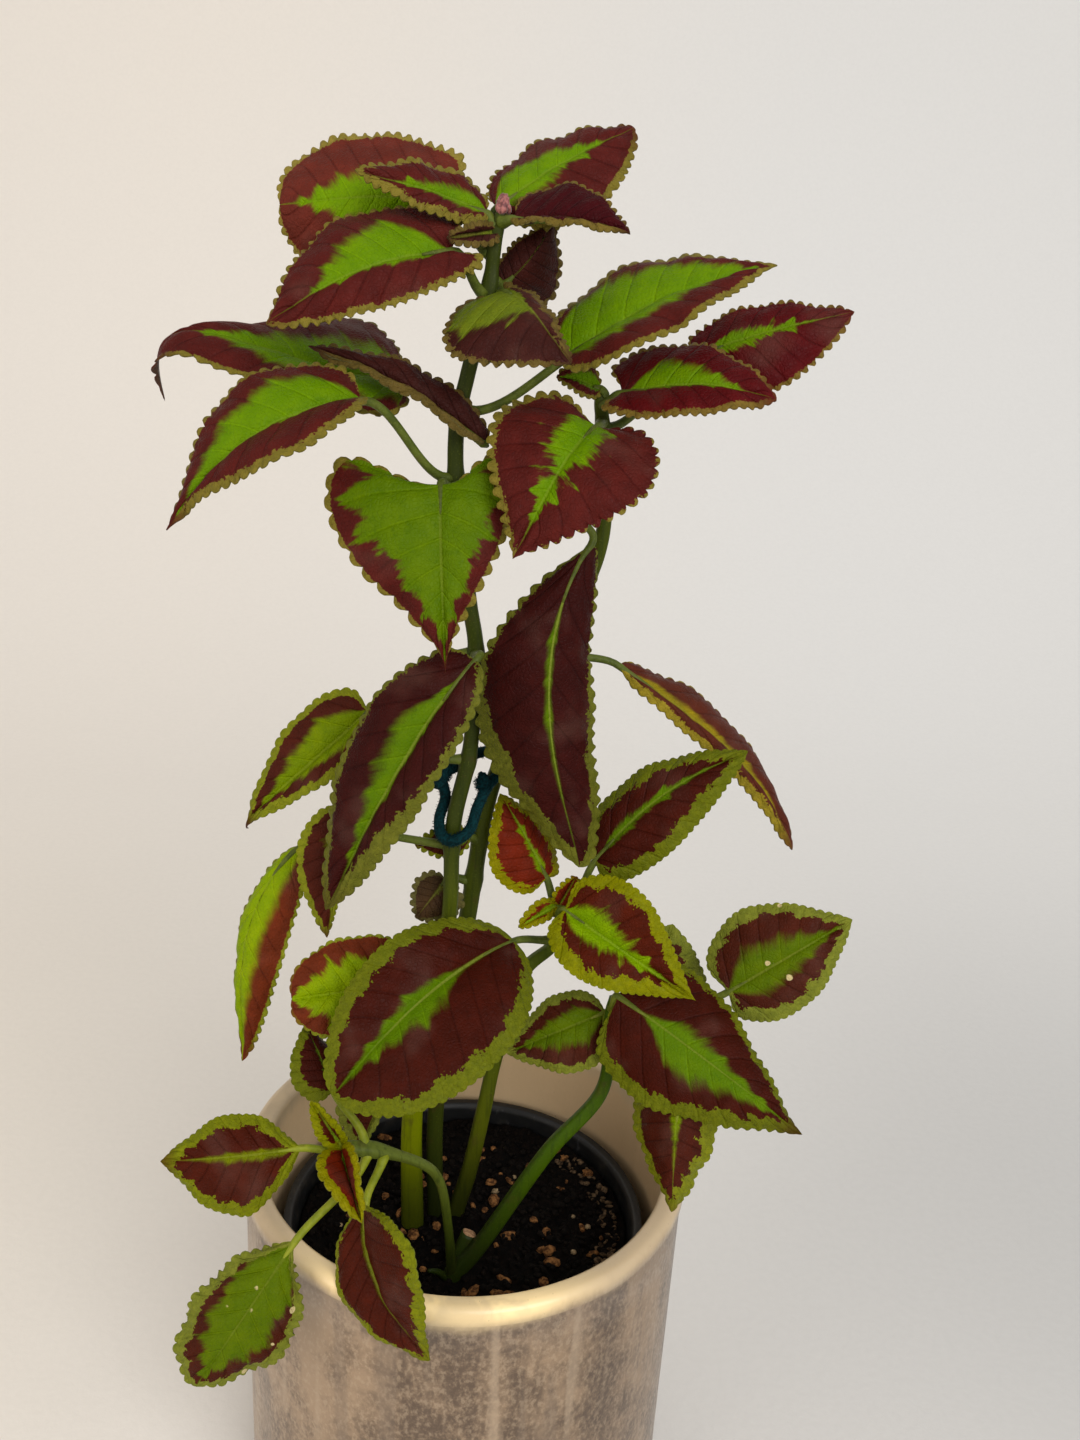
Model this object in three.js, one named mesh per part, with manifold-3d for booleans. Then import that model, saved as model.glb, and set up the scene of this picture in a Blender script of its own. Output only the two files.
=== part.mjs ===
// A potted coleus: a glazed ceramic outer pot, a plastic nursery pot full of peat inside it,
// four stems that stand in holes in the peat (one of them forks), a fuzzy plant tie round two
// of them, and 39 toothed leaves, each with its own leaf stalk.
// Millimetres, +Z up. The origin is the middle of the outer pot's flat bottom.
import * as THREE from 'three';
import { mergeVertices } from 'three/addons/utils/BufferGeometryUtils.js';
import Module from 'manifold-3d';

const wasm = await Module();
wasm.setup();

// ---- driving dimensions -------------------------------------------------------------------

const POT_HEIGHT = 125;
const POT_RADIUS = 66;
const POT_WALL = 6.6;
const POT_BASE_RADIUS = 65;
const POT_INNER_BASE_RADIUS = 57.9;
const POT_FLOOR = 7;
const POT_FOOT_ROUND = 2;
const LIP_BAND_HEIGHT = 5;
const LIP_BAND_PROUD = 0.7;
const LIP_ROUND = 2.6;
const POT_SIDES = 44;

const NURSERY_TOP = 100;
const NURSERY_RADIUS = 55;
const NURSERY_WALL = 1.6;
const NURSERY_RIM_HEIGHT = 9;
const NURSERY_RIM_PROUD = 1.8;
const NURSERY_FOOT_RADIUS = 42;
const NURSERY_FLOOR = 2;
const NURSERY_MOUTH_BEVEL = 1.5;
const NURSERY_SIDES = 32;

const SOIL_TOP = 95;
const SOIL_LUMP = 1.7;
const SOIL_RINGS = [0.84, 0.66, 0.48, 0.3, 0.14];
const STEM_FOOT = 66;

// the room between touching pieces; a faceted hole is cut a little wider to keep it
const GAP = 0.3;
const CLEAR = GAP + 0.06;

const BLADE_THICKNESS = 0.7;
const BLADE_PUFF = 0.05;
const TOOTH_HEIGHT = 1.1;
const TOOTH_CROWDING = 0.08;
const MIDDLE_ROW = 0.55;
const STALK_RADIUS = 1.15;
const STALK_SIDES = 5;
const STALK_STEP = 9;
const STALK_ROOT = 0.8;
const STALK_BEND = 0.3;
const STALK_UNDER_BLADE = 0.3;
const STALK_REACH_IN_BLADE = 0.16;

// ---- stems: points along the middle of each, with the radius there ------------------------

const STEMS = {
  tall: [
    [-15.6, -0.8, STEM_FOOT, 3.6], [-15.8, -0.8, 95, 3.7], [-16.4, -1, 138, 3.2],
    [-12, -1.6, 172, 2.4], [-7.6, -2, 203, 2.3], [-7.2, -2, 232, 2.3], [-3.6, -1.6, 253, 2.2],
    [-3, -1, 281, 2.2], [-5, -1, 293, 2.1], [-9, -0.5, 318, 2.2], [-9.8, 0, 338, 2.1],
    [-7.6, 0, 350, 2], [-3.2, 0, 370, 1.9], [-2.4, 0, 379, 1.5], [-1.2, 0, 387, 1.1],
  ],
  mate: [
    [-8.6, 4.2, STEM_FOOT, 2.6], [-9, 4.4, 95, 2.7], [-9.7, 5, 136, 2.6], [-2.4, 8, 199, 2.7],
    [2.6, 8, 238, 2.4], [9.6, 8, 259, 2.2], [19, 7, 282, 2.1], [27.4, 6, 306, 2.1],
    [28.6, 6, 318, 1.9], [25.8, 6, 343, 1.6], [25, 6, 347, 1],
  ],
  middle: [
    [-2.8, 3.4, STEM_FOOT, 2.6], [-2.6, 3.4, 95, 2.7], [1, 3, 112, 2.6], [4.8, 3, 136, 2.4],
    [7, 3, 151, 2.2], [14.4, 2, 184, 2], [22, 0, 194, 1.7], [23.4, -2.6, 202, 1.4],
    [23, -3.2, 209, 1],
  ],
  front: [
    [-3.6, -23.4, STEM_FOOT, 3], [-2.8, -23, 95, 3.1], [4.2, -22, 105, 2.4],
    [23.6, -18, 137.5, 2.2], [37.6, -15, 156, 2], [38.4, -15, 178, 1.8], [38.6, -15, 187, 1.1],
  ],
  side: [
    [-2.6, -23, 92, 1.8], [-4, -26, 113, 1.4], [-7.3, -30, 136, 1.3], [-11.7, -33, 143.6, 1.3],
    [-25, -38, 152, 1.4], [-33, -40, 154, 1.2],
  ],
};
const CUT_STUB = [[-3, -21.6, 93, 2.6], [-0.6, -19.6, 101, 2.5], [1.8, -18, 107, 2.4]];
const SOIL_SPROUT = [[-4.4, -24, 96, 1.2], [-7, -26, 100, 0.9], [-9.6, -27.4, 101.6, 0.5]];
const PINK_BUD = { at: [-0.7, 0, 389], size: [2.2, 2.2, 3] };
const STEM_SIDES = 8;
const STEM_STEP = 11;

// ---- leaves -------------------------------------------------------------------------------
// stem and node: which stem carries the leaf, and how high on it
// base and tip: the ends of the blade's midrib
// left and right: a point on each margin near its middle, facing the upper side with the tip up
// rise: how far the midrib bows out of the straight line, on the upper side
// crest: where along the blade it bows most
// sway: how far the midrib bows sideways, towards the right margin
// widest: where along the blade it is widest, as a share of the length
// leftRound and rightRound: how each margin leaves the base, below 1 round and above 1 hollow
// heart: how far the lobes reach back behind the base, as a share of the length;
//   below 0, how far forward the margins start
// teeth: how many each margin has

const LEAVES = {
  top_back_left: { stem: 'tall', node: 378, base: [-13, 6, 389.5], tip: [-53, 6, 386],
    left: [-47.5, 7, 374], right: [-39, 16, 402], rise: 3.5, crest: 0.5, heart: 0.12,
    widest: 0.47, leftRound: 0.61, rightRound: 0.33, teeth: 8 },
  top_small_left: { stem: 'tall', node: 384, base: [-4.6, 0, 387], tip: [-34, -9, 394],
    left: [-19, -8, 387.5], right: [-16, 2, 396.5], rise: 1, crest: 0.5, heart: 0.05, teeth: 7 },
  top_front_left: { stem: 'tall', node: 369, base: [-12, -8, 378.5], tip: [-52, -22, 361],
    left: [-28, -22, 366], right: [-35, -4, 385], rise: 5, crest: 0.5, heart: 0.17, widest: 0.38,
    leftRound: 0.5, rightRound: 0.72, teeth: 9 },
  top_back_right: { stem: 'tall', node: 381, base: [-2, 3.6, 388.5], tip: [30, 18, 408],
    left: [2.5, 17, 400.5], right: [21, 4, 390], rise: 2, crest: 0.5, widest: 0.4,
    leftRound: 0.45, teeth: 8 },
  top_small_right: { stem: 'tall', node: 385, base: [2, -3.4, 386], tip: [28, -14, 384],
    left: [13, -1, 394], right: [15, -13, 386], rise: 2, crest: 0.6, heart: 0.05, teeth: 7 },
  heart_small: { stem: 'tall', node: 366, base: [0, -5, 370], tip: [16, -24, 356],
    left: [8.5, -12, 369], right: [-7.5, -22, 356], rise: 5, crest: 0.45, heart: 0.13,
    leftRound: 0.45, rightRound: 0.6, teeth: 7 },
  behind_heart: { stem: 'tall', node: 372, base: [0.5, 1.6, 371], tip: [11, 6, 386],
    left: [2, 4, 380], right: [13, 9, 378], rise: 3, crest: 0.55, heart: 0.05, teeth: 7 },
  upper_right_big: { stem: 'tall', node: 342, base: [16, -2, 356], tip: [65, 2, 379],
    left: [33, 12, 378], right: [34, -16, 362.5], rise: 4, crest: 0.5, heart: 0.08,
    rightRound: 0.8, teeth: 9 },
  far_right: { stem: 'mate', node: 338, base: [50, 14, 357], tip: [88, 14, 369],
    left: [59.5, 20, 367.5], right: [68, 8, 350], rise: 2, crest: 0.5, heart: 0.08, teeth: 8 },
  red_right: { stem: 'mate', node: 344, base: [30, 0, 348], tip: [66, -10, 349],
    left: [46, 4, 360], right: [45, -14, 346], rise: 4, crest: 0.55, heart: 0.14, leftRound: 0.46,
    rightRound: 0.46, teeth: 8 },
  heart_dark_front: { stem: 'mate', node: 340, base: [24, -5, 340], tip: [5, -24, 311],
    left: [37, -18, 335], right: [-1, -12, 337], rise: 7, crest: 0.4, heart: 0.1, widest: 0.3,
    teeth: 9 },
  mate_tip: { stem: 'mate', node: 346, base: [25, 6, 348], tip: [14, 3, 350.5],
    left: [21, 1, 347], right: [20.5, 7, 354], rise: 1, crest: 0.5, teeth: 5 },
  upper_left: { stem: 'tall', node: 340, base: [-23.5, 5, 348.5], tip: [-81, 2, 340],
    left: [-70.5, -9, 352.5], right: [-59, 14, 360], rise: 16.5, crest: 0.85, heart: 0.01,
    widest: 0.23, leftRound: 0.12, rightRound: 0.7, teeth: 9 },
  left_long: { stem: 'tall', node: 325, base: [-32, -13, 344.5], tip: [-76, -22, 313.5],
    left: [-38, -30, 340.5], right: [-61, -13, 346.5], rise: 9.5, crest: 0.45, heart: 0.07,
    widest: 0.34, leftRound: 1.01, rightRound: 0.69, teeth: 9 },
  edge_on: { stem: 'tall', node: 340, base: [-3, -6, 335], tip: [-45.5, -2, 355],
    left: [-17, -9, 345], right: [-20.5, -3, 352], rise: 4, crest: 0.5, heart: 0.04, teeth: 7 },
  heart_green: { stem: 'tall', node: 322, base: [-13, -10, 325], tip: [-10, -22, 281.5],
    left: [2.5, -15, 316.5], right: [-36.5, -14, 312], rise: 4, crest: 0.4, heart: 0.2,
    widest: 0.17, leftRound: 0.36, rightRound: 0.36, teeth: 9 },
  dark_hanging: { stem: 'tall', node: 318, base: [25, -1.4, 310], tip: [27, -10, 224],
    left: [28, -6, 270.5], right: [-1.5, -8, 262], rise: 7, crest: 0.4, sway: 10, widest: 0.5,
    leftRound: 0.5, rightRound: 1, teeth: 10 },
  left_dark_big: { stem: 'tall', node: 280, base: [-3, -16, 283], tip: [-39, -24, 216],
    left: [-9, -29, 262], right: [-35.5, -17, 257.5], rise: 6, crest: 0.4, heart: 0.03,
    widest: 0.38, teeth: 10 },
  left_back: { stem: 'tall', node: 280, base: [-31, 2, 262], tip: [-63, 0, 227],
    left: [-42.5, -6, 244], right: [-52, 5, 256.5], rise: 4, crest: 0.8, heart: 0.06, widest: 0.3,
    teeth: 8 },
  left_drooping: { stem: 'tall', node: 225, base: [-49, 0, 222], tip: [-65, -8, 157.5],
    left: [-50.5, -6, 202], right: [-67, -1, 193.5], rise: 6, crest: 0.4, sway: 6, widest: 0.38,
    teeth: 9 },
  left_low_narrow: { stem: 'tall', node: 250, base: [-35, -8, 237], tip: [-40, -14, 202],
    left: [-35, -12, 224], right: [-48, -12, 221.5], rise: 2, crest: 0.5, heart: 0.05, teeth: 7 },
  right_drooping: { stem: 'mate', node: 279, base: [36, 10, 275], tip: [90.5, 14, 220],
    left: [62, 20, 263.5], right: [50.5, 7, 262.5], rise: 7, crest: 0.55, sway: -2, widest: 0.42,
    teeth: 9 },
  crown_right: { stem: 'middle', node: 206, base: [32, -1, 221.5], tip: [71, -1, 256],
    left: [36, 6, 239.5], right: [55, -8, 233], rise: 3, crest: 0.5, sway: -3, heart: 0.06,
    leftRound: 0.5, rightRound: 0.5, teeth: 8 },
  crown_left: { stem: 'middle', node: 208, base: [19.2, -0.4, 215.4], tip: [5, 3, 239],
    left: [3.5, -4, 220.5], right: [20, 4, 226], rise: 2, crest: 0.5, heart: 0.08, teeth: 7 },
  crown_front: { stem: 'middle', node: 200.5, base: [24, -10, 211], tip: [59, -28, 195],
    left: [36, -14, 223], right: [26.5, -24, 199.5], rise: 3, crest: 0.5, heart: 0.06,
    widest: 0.3, teeth: 8 },
  lower_front_big: { stem: 'middle', node: 196.5, base: [10.5, -8, 199.5], tip: [-35, -42, 172],
    left: [11, -36, 186.5], right: [-20.5, -18, 206], rise: 6, crest: 0.45, sway: 3, widest: 0.48,
    leftRound: 0.5, rightRound: 0.5, teeth: 10 },
  bright_puckered: { stem: 'tall', node: 186, base: [-14, -10, 187], tip: [-49, -18, 185],
    left: [-41, -24, 178], right: [-38.5, -10, 198.5], rise: 3, crest: 0.5, heart: 0.1,
    widest: 0.5, leftRound: 0.42, rightRound: 0.42, teeth: 8 },
  low_back_left: { stem: 'side', node: 152.8, base: [-36, -32, 166], tip: [-45.5, -18, 177],
    left: [-48, -26, 170.5], right: [-35.5, -22, 168.5], rise: 1, crest: 0.5, heart: 0.08,
    teeth: 7 },
  low_middle_pale: { stem: 'front', node: 178, base: [37, -12, 180], tip: [10, -14, 167],
    left: [28.5, -20, 165.5], right: [27, -8, 184], rise: 3, crest: 0.5, heart: 0.02, teeth: 8 },
  low_right_big: { stem: 'front', node: 184, base: [39.5, -19, 190], tip: [86.5, -48, 168.5],
    left: [71.5, -22, 187], right: [74.5, -44, 166.5], rise: 2, crest: 0.5, heart: 0.03,
    widest: 0.23, leftRound: 0.37, rightRound: 0.32, teeth: 10 },
  low_far_right: { stem: 'front', node: 182, base: [71, -12, 188], tip: [104, -8, 210],
    left: [72.5, -2, 207], right: [85.5, -18, 184], rise: 2, crest: 0.5, heart: 0.08, teeth: 9 },
  low_behind: { stem: 'front', node: 184, base: [47, -4, 181.6], tip: [56, 2, 201],
    left: [49, 0, 199], right: [66.5, 2, 184.5], rise: 1, crest: 0.5, heart: 0.05, teeth: 7 },
  low_hanging_right: { stem: 'front', node: 172, base: [56.5, -32, 165.5], tip: [56, -42, 137.5],
    left: [65, -36, 149.5], right: [52.5, -36, 141.5], rise: 4, crest: 0.4, heart: 0.12,
    widest: 0.2, leftRound: 0.21, rightRound: 0.26, teeth: 7 },
  rim_left: { stem: 'side', node: 153.4, base: [-43.5, -42, 155], tip: [-79, -46, 153],
    left: [-54, -49, 140.5], right: [-60, -38, 162.5], rise: 3, crest: 0.5, widest: 0.46,
    leftRound: 1, rightRound: 1, teeth: 8 },
  rim_left_hanging: { stem: 'side', node: 152.4, base: [-43.5, -54, 135], tip: [-67, -68, 100.5],
    left: [-55.5, -66, 102], right: [-72.5, -62, 108.5], rise: 4, crest: 0.5, heart: -0.04,
    widest: 0.5, leftRound: 1.1, rightRound: 0.59, teeth: 9 },
  rim_front_hanging: { stem: 'side', node: 150.6, base: [-26, -49, 143], tip: [-7, -71, 114],
    left: [-15, -67, 149], right: [-27, -63, 119], rise: 4, crest: 0.45, sway: 3, heart: -0.02,
    widest: 0.37, leftRound: 0.76, rightRound: 0.43, teeth: 8 },
  low_behind_left: { stem: 'tall', node: 148, base: [-23, -12, 153], tip: [-30, -26, 141],
    left: [-25, -20, 148.5], right: [-36, -18, 146.5], rise: 1, crest: 0.5, heart: 0.05,
    teeth: 7 },
  old_small: { stem: 'mate', node: 223, base: [-3, 4.4, 225], tip: [-18, 2.4, 223],
    left: [-9, 2.4, 219.5], right: [-9, 3.2, 228], rise: 1, crest: 0.5, teeth: 5 },
  old_curled: { stem: 'mate', node: 210, base: [-9, 4, 211.5], tip: [-17, 1, 200.5],
    left: [-10, 1, 201], right: [-16.5, 5, 211], rise: 1.5, crest: 0.5, teeth: 5 },
};

// leaflets at the growing tips, fused to their stem
const LEAFLET_TEETH = 4;
const TIP_LEAFLETS = {
  tall: [
    {
      base: [-1.8, -0.6, 383], tip: [-13, -11, 381],
      left: [-8, -8.6, 380.4], right: [-6.6, -6, 384],
    },
  ],
  middle: [
    {
      base: [22.2, -3.4, 208.8], tip: [11.5, -13, 206.6],
      left: [16.6, -10.4, 206.6], right: [15, -8, 210],
    },
    {
      base: [23, -3.6, 209], tip: [27, -6, 219],
      left: [22.6, -5.6, 215], right: [27.6, -5.4, 214],
    },
  ],
  side: [
    {
      base: [-32.8, -40.2, 154.2], tip: [-41, -41, 169.5],
      left: [-40, -42, 162], right: [-35.5, -42, 164.5],
    },
    {
      base: [-33, -40.4, 153.6], tip: [-25.5, -60, 147],
      left: [-28, -53, 157.5], right: [-37, -52, 157],
    },
  ],
};

// the tie's middle line: low across the front of the tall stem, high behind both stems
const TIE_LOOP = [
  [-7.3, -6.2, 228.5], [-3, -4.8, 231], [-0.8, -1.4, 237], [2.6, 3.2, 242.5], [8.2, 7.4, 245],
  [4.6, 12.6, 247.5], [-2, 9, 248], [-7, 3.4, 246.5], [-10.8, 3, 243.5], [-9.8, 2.4, 237.5],
  [-11.2, -1.6, 232.5], [-10.2, -5.4, 229.5],
];
const TIE_RADIUS = 1.25;
const TIE_KNOT = { at: [-10.8, 2.4, 244], size: [3.2, 2.4, 4.6] };

// ---- closed meshes and solids ---------------------------------------------------------------

function closedGeometry(points, triangles) {
  const geometry = new THREE.BufferGeometry();
  const flat = points.flatMap((p) => [p.x, p.y, p.z]);
  geometry.setAttribute('position', new THREE.Float32BufferAttribute(flat, 3));
  geometry.setIndex(triangles.flat());
  return geometry;
}

function solid(geometry) {
  const bare = geometry.clone();
  bare.deleteAttribute('normal');
  bare.deleteAttribute('uv');
  const merged = mergeVertices(bare, 1e-4);
  return new wasm.Manifold(new wasm.Mesh({
    numProp: 3,
    vertProperties: new Float32Array(merged.attributes.position.array),
    triVerts: new Uint32Array(merged.index.array),
  }));
}

function geometryOf(manifold) {
  const mesh = manifold.getMesh();
  const geometry = new THREE.BufferGeometry();
  geometry.setAttribute('position', new THREE.Float32BufferAttribute(mesh.vertProperties, 3));
  geometry.setIndex(Array.from(mesh.triVerts));
  geometry.computeVertexNormals();
  return geometry;
}

function vector(list) {
  return new THREE.Vector3(list[0], list[1], list[2]);
}

// a closed tube through the given points, with a radius at each, as rings joined by triangles
function tube(points, radii, sides) {
  const rings = [];
  let across = new THREE.Vector3(0, 1, 0);
  points.forEach((point, i) => {
    const before = points[Math.max(i - 1, 0)];
    const after = points[Math.min(i + 1, points.length - 1)];
    const along = after.clone().sub(before).normalize();
    across = across.clone().addScaledVector(along, -across.dot(along)).normalize();
    const other = along.clone().cross(across);
    for (let k = 0; k < sides; k += 1) {
      const turn = (2 * Math.PI * k) / sides;
      rings.push(point.clone()
        .addScaledVector(across, radii[i] * Math.cos(turn))
        .addScaledVector(other, radii[i] * Math.sin(turn)));
    }
  });
  const triangles = [];
  for (let i = 0; i + 1 < points.length; i += 1) {
    for (let k = 0; k < sides; k += 1) {
      const a = i * sides + k;
      const b = i * sides + ((k + 1) % sides);
      triangles.push([a, b, b + sides], [a, b + sides, a + sides]);
    }
  }
  const first = rings.push(points[0].clone()) - 1;
  const last = rings.push(points[points.length - 1].clone()) - 1;
  const end = (points.length - 1) * sides;
  for (let k = 0; k < sides; k += 1) {
    const next = (k + 1) % sides;
    triangles.push([first, next, k], [last, end + k, end + next]);
  }
  return closedGeometry(rings, triangles);
}

function smoothTube(list, sides, step, grow = 0) {
  const curve = new THREE.CatmullRomCurve3(list.map(vector), false, 'centripetal');
  const count = Math.max(2, Math.round(curve.getLength() / step));
  const points = [];
  const radii = [];
  for (let i = 0; i <= count; i += 1) {
    const place = i / count;
    const at = place * (list.length - 1);
    const low = Math.min(Math.floor(at), list.length - 2);
    points.push(curve.getPoint(place));
    radii.push(THREE.MathUtils.lerp(list[low][3], list[low + 1][3], at - low) + grow);
  }
  points[0].addScaledVector(curve.getTangent(0), -grow);
  points[count].addScaledVector(curve.getTangent(1), grow);
  return tube(points, radii, sides);
}

function egg({ at, size }, widthSegments, heightSegments) {
  const geometry = new THREE.SphereGeometry(1, widthSegments, heightSegments);
  geometry.scale(size[0], size[1], size[2]);
  geometry.translate(at[0], at[1], at[2]);
  return geometry;
}

function lathe(profile, segments) {
  const geometry = new THREE.LatheGeometry(profile.map(([r, z]) => new THREE.Vector2(r, z)), segments);
  geometry.rotateX(Math.PI / 2);
  return geometry;
}

// ---- the blade of a leaf --------------------------------------------------------------------

// half width along the blade, 1 at its widest: round at the base, drawn out at the tip
const BASE_ROUNDNESS = 0.56;
const WIDEST_AT = 0.35;

function halfWidth(t, round, widest) {
  const draw = (round * (1 - widest)) / widest;
  return (t / widest) ** round * ((1 - t) / (1 - widest)) ** draw;
}

// an arch from 0 to 1 and back to 0, highest at the crest
function bow(t, crest) {
  const a = 2.1 * crest;
  const b = 2.1 * (1 - crest);
  return (t ** a * (1 - t) ** b) / (crest ** a * (1 - crest) ** b);
}

// how far the margin lies back along the blade, 1 at the lobes' ends
const LOBE_AT = 0.07;

function lobe(t) {
  return (t / LOBE_AT) * Math.exp(1 - t / LOBE_AT);
}

// the blade's own directions, and how far each margin reaches from the midrib
function bladeFrame(leaf) {
  const { rise = 0, crest = 0.5, sway = 0, heart = 0, widest = WIDEST_AT } = leaf;
  const { leftRound = BASE_ROUNDNESS, rightRound = BASE_ROUNDNESS } = leaf;
  const start = vector(leaf.base);
  const chord = vector(leaf.tip).sub(start);
  const face = vector(leaf.right).sub(vector(leaf.left)).cross(chord).normalize();
  const side = chord.clone().normalize().cross(face);
  const midrib = (t) => start.clone()
    .addScaledVector(chord, t)
    .addScaledVector(face, rise * bow(t, crest))
    .addScaledVector(side, sway * bow(t, crest));
  const half = (corner, round) => {
    const point = vector(corner);
    const along = point.clone().sub(start).dot(chord) / chord.lengthSq();
    let t = along;
    for (let i = 0; i < 8; i += 1) t = THREE.MathUtils.clamp(along + heart * lobe(t), 0.12, 0.8);
    const reach = point.sub(midrib(t)).addScaledVector(chord, heart * lobe(t));
    return { reach: reach.divideScalar(halfWidth(t, round, widest)), round };
  };
  const halves = { [-1]: half(leaf.left, leftRound), [1]: half(leaf.right, rightRound) };
  return { chord, face, midrib, widest, heart, halves };
}

// a point of the blade: t along it, share of the way from the midrib to one margin
function bladePoint(frame, t, side, share, tooth) {
  const { reach, round } = frame.halves[side];
  const width = halfWidth(t, round, frame.widest);
  const puff = BLADE_PUFF * reach.length() * width * 4 * share * (1 - share);
  const toothReach = (tooth * Math.min(1, width * 2)) / reach.length();
  return frame.midrib(t)
    .addScaledVector(reach, share * width + toothReach)
    .addScaledVector(frame.chord, -frame.heart * lobe(t) * share ** 1.5)
    .addScaledVector(frame.face, puff);
}

// triangles between two rows of points that share their first and last point
function zip(rowA, rowB, turned) {
  const triangles = [];
  let i = 0;
  let j = 0;
  while (i + 1 < rowA.length || j + 1 < rowB.length) {
    const stepA = j + 1 === rowB.length
      || (i + 1 < rowA.length && rowA[i + 1].place <= rowB[j + 1].place);
    const corner = stepA ? rowA[i + 1].index : rowB[j + 1].index;
    const triangle = [rowA[i].index, rowB[j].index, corner];
    if (stepA) i += 1;
    else j += 1;
    if (new Set(triangle).size === 3) triangles.push(turned ? triangle.reverse() : triangle);
  }
  return triangles;
}

// two sheets half a thickness above and below the blade, closed along the margins
function bladeGeometry(leaf) {
  const frame = bladeFrame(leaf);
  const teeth = leaf.teeth ?? LEAFLET_TEETH;
  const sheet = [frame.midrib(0), frame.midrib(1)];
  const row = (count, side, share, notched) => {
    const points = [{ place: 0, index: 0 }];
    for (let i = 1; i < count; i += 1) {
      const place = i / count;
      const t = place - TOOTH_CROWDING * Math.sin(2 * Math.PI * place);
      const tooth = notched && i % 2 === 1 ? TOOTH_HEIGHT : 0;
      points.push({ place, index: sheet.push(bladePoint(frame, t, side, share, tooth)) - 1 });
    }
    points.push({ place: 1, index: 1 });
    return points;
  };
  const midrib = row(Math.ceil(teeth / 2) + 1, 1, 0, false);
  const margins = {};
  const faces = [];
  for (const side of [-1, 1]) {
    const middle = row(Math.ceil(MIDDLE_ROW * teeth) + 1, side, MIDDLE_ROW, false);
    margins[side] = row(2 * teeth, side, 1, true);
    faces.push(...zip(midrib, middle, side < 0), ...zip(middle, margins[side], side < 0));
  }
  const normals = sheet.map(() => new THREE.Vector3());
  for (const [a, b, c] of faces) {
    const normal = sheet[b].clone().sub(sheet[a]).cross(sheet[c].clone().sub(sheet[a]));
    for (const corner of [a, b, c]) normals[corner].add(normal);
  }
  const half = BLADE_THICKNESS / 2;
  const upper = sheet.map((p, i) => p.clone().addScaledVector(normals[i].normalize(), half));
  const lower = sheet.map((p, i) => p.clone().addScaledVector(normals[i], -half));
  const count = sheet.length;
  const triangles = [...faces, ...faces.map(([a, b, c]) => [a + count, c + count, b + count])];
  const rim = [...margins[-1], ...margins[1].slice(1, -1).reverse()].map((point) => point.index);
  rim.forEach((a, i) => {
    const b = rim[(i + 1) % rim.length];
    triangles.push([a, b, b + count], [a, b + count, a + count]);
  });
  return closedGeometry([...upper, ...lower], triangles);
}

// ---- leaf stalks ----------------------------------------------------------------------------

// where a stem passes a height, its radius there and the way it runs
function stemAt(name, height) {
  const list = STEMS[name];
  const curve = new THREE.CatmullRomCurve3(list.map(vector), false, 'centripetal');
  const looks = 400;
  let best = { miss: Infinity };
  for (let i = 0; i <= looks; i += 1) {
    const place = i / looks;
    const point = curve.getPoint(place);
    const miss = Math.abs(point.z - height);
    if (miss < best.miss) {
      const at = Math.min(Math.floor(place * (list.length - 1)), list.length - 2);
      const radius = Math.max(list[at][3], list[at + 1][3]);
      best = { miss, point, radius, along: curve.getTangent(place) };
    }
  }
  return best;
}

// from inside the stem's edge, where it is cut back later, to the blade's base,
// then on under the midrib for a short way
function stalkGeometry(leaf) {
  const frame = bladeFrame(leaf);
  const stem = stemAt(leaf.stem, leaf.node);
  const base = frame.midrib(0);
  const out = base.clone().sub(stem.point);
  out.addScaledVector(stem.along, -out.dot(stem.along)).normalize();
  const root = stem.point.clone().addScaledVector(out, STALK_ROOT * stem.radius);
  const length = root.distanceTo(base);
  const into = frame.midrib(STALK_REACH_IN_BLADE / 2).sub(base).normalize();
  const curve = new THREE.CubicBezierCurve3(
    root,
    root.clone().addScaledVector(out, STALK_BEND * length),
    base.clone().addScaledVector(into, -STALK_BEND * length),
    base.clone().addScaledVector(frame.face, -STALK_UNDER_BLADE),
  );
  const points = curve.getPoints(Math.max(2, Math.round(length / STALK_STEP)));
  points.push(frame.midrib(STALK_REACH_IN_BLADE).addScaledVector(frame.face, -STALK_UNDER_BLADE));
  const radii = points.map((_, i) => STALK_RADIUS * (i + 1 < points.length ? 1 : 0.5));
  return tube(points, radii, STALK_SIDES);
}

// ---- nodes ------------------------------------------------------------------------------------

const LEAF_COLOURS = { green: 0x6a9a1e, dark: 0x4a1a1c };
const DARK_LEAVES = ['heart_small', 'behind_heart', 'far_right', 'red_right', 'heart_dark_front',
  'edge_on', 'dark_hanging', 'left_dark_big', 'lower_front_big', 'low_back_left', 'low_right_big'];

const coleus = new THREE.Group();
coleus.name = 'coleus_in_pot';

function addNode(name, geometry, colour, roughness = 0.6) {
  const material = new THREE.MeshStandardMaterial({ color: colour, roughness, metalness: 0 });
  const mesh = new THREE.Mesh(geometry, material);
  mesh.name = name;
  coleus.add(mesh);
}

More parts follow.
